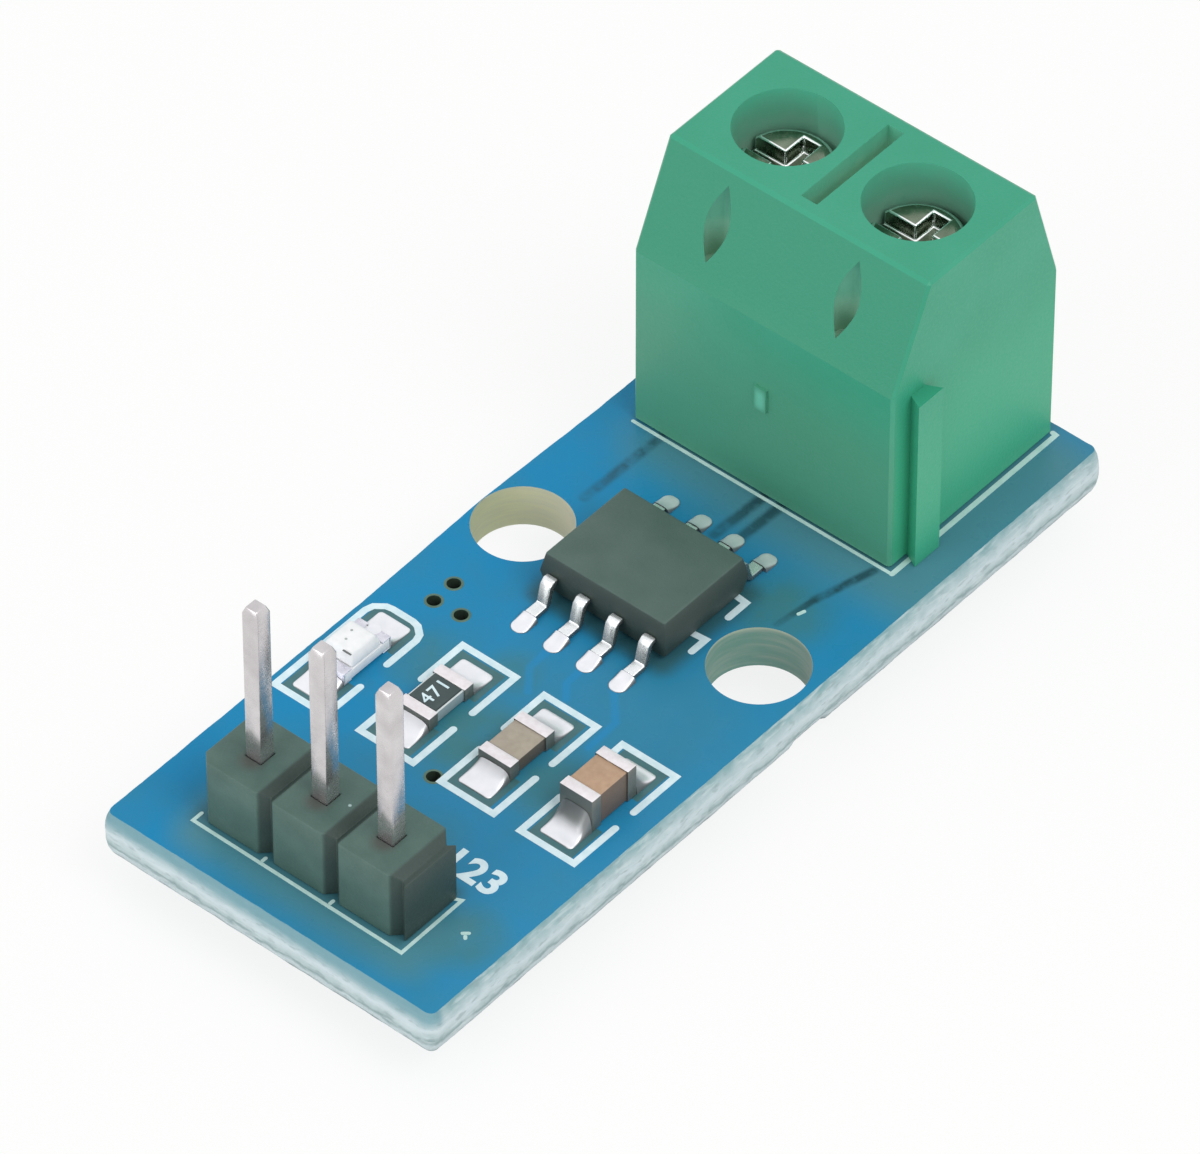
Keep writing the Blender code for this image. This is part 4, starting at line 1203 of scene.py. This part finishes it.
def seen_share(tree, share, rest=0.0):
    """share for rays of the camera, of gloss and of glass, and rest for all others."""
    path = tree.nodes.new("ShaderNodeLightPath")
    added = path.outputs["Is Camera Ray"]
    for name in ("Is Glossy Ray", "Is Transmission Ray"):
        step = tree.nodes.new("ShaderNodeMath")
        step.operation = "MAXIMUM"
        tree.links.new(added, step.inputs[0])
        tree.links.new(path.outputs[name], step.inputs[1])
        added = step.outputs[0]
    scaled = tree.nodes.new("ShaderNodeMapRange")
    tree.links.new(added, scaled.inputs["Value"])
    scaled.inputs["To Min"].default_value = rest
    scaled.inputs["To Max"].default_value = share
    return scaled.outputs["Result"]


def make_floor():
    mesh = bpy.data.meshes.new("floor")
    h = FLOOR_HALF
    mesh.from_pydata([(-h, -h, 0), (h, -h, 0), (h, h, 0), (-h, h, 0)], [], [(0, 1, 2, 3)])
    floor = new_object("floor", mesh)
    floor.location.z = -FLOOR_DROP
    shader = Shader("floor_paper", (0.93, 0.93, 0.92), 0.9)
    paper = [(0.3, (0.92, 0.93, 0.92)), (0.7, (0.94, 0.94, 0.93))]
    shader.colour(shader.ramp(shader.noise(0.05), paper))
    glow = shader.node("ShaderNodeEmission")
    glow.inputs["Color"].default_value = (0.985, 0.99, 0.98, 1)
    mixed = shader.node("ShaderNodeMixShader")
    shader.link(seen_share(shader.tree, FLOOR_GLOW), mixed.inputs["Fac"])
    shader.link(shader.base.outputs["BSDF"], mixed.inputs[1])
    shader.link(glow.outputs["Emission"], mixed.inputs[2])
    output = shader.tree.nodes["Material Output"]
    shader.link(mixed.outputs["Shader"], output.inputs["Surface"])
    floor.data.materials.append(shader.material)


def make_world():
    world = bpy.data.worlds.new("studio")
    bpy.context.scene.world = world
    world.use_nodes = True
    background = world.node_tree.nodes["Background"]
    background.inputs["Color"].default_value = (0.98, 0.99, 1.0, 1)
    strength = seen_share(world.node_tree, 1.0, WORLD_LIGHT)
    world.node_tree.links.new(strength, background.inputs["Strength"])


def add_lamp(name, place, size, power):
    lamp = bpy.data.lights.new(name, "AREA")
    lamp.shape = "DISK"
    lamp.size = size
    lamp.energy = power
    made = new_object(name, lamp)
    made.location = place
    aim = LAMP_AIM - Vector(place)
    made.rotation_euler = aim.to_track_quat("-Z", "Y").to_euler()


def make_camera():
    azimuth = math.radians(CAMERA_AZIMUTH)
    elevation = math.radians(CAMERA_ELEVATION)
    back = Vector((
        math.sin(azimuth) * math.cos(elevation),
        -math.cos(azimuth) * math.cos(elevation),
        math.sin(elevation),
    ))
    right = Vector((math.cos(azimuth), math.sin(azimuth), 0))
    up = back.cross(right)
    across = (IMAGE_WIDTH / 2 - BOARD_MIDDLE_PIXEL[0]) / PIXELS_PER_MM
    rise = (BOARD_MIDDLE_PIXEL[1] - IMAGE_HEIGHT / 2) / PIXELS_PER_MM
    middle = Vector((0, 0, BOARD_TOP))
    place = middle + right * across + up * rise + back * CAMERA_DISTANCE
    data = bpy.data.cameras.new("camera")
    data.sensor_width = SENSOR_WIDTH
    data.lens = SENSOR_WIDTH * PIXELS_PER_MM * CAMERA_DISTANCE / IMAGE_WIDTH
    data.clip_start = CLIP_START
    data.clip_end = CLIP_END
    camera = new_object("camera", data)
    camera.matrix_world = Matrix((
        (right.x, up.x, back.x, place.x * MM),
        (right.y, up.y, back.y, place.y * MM),
        (right.z, up.z, back.z, place.z * MM),
        (0, 0, 0, 1),
    ))
    bpy.context.scene.camera = camera


def main():
    make_board()
    make_marks()
    make_via_rims()
    make_parts()
    make_chip()
    make_header()
    make_terminal()
    make_floor()
    make_world()
    for lamp in LAMPS:
        add_lamp(*lamp)
    make_camera()
    bpy.context.scene.view_settings.view_transform = "Standard"


main()
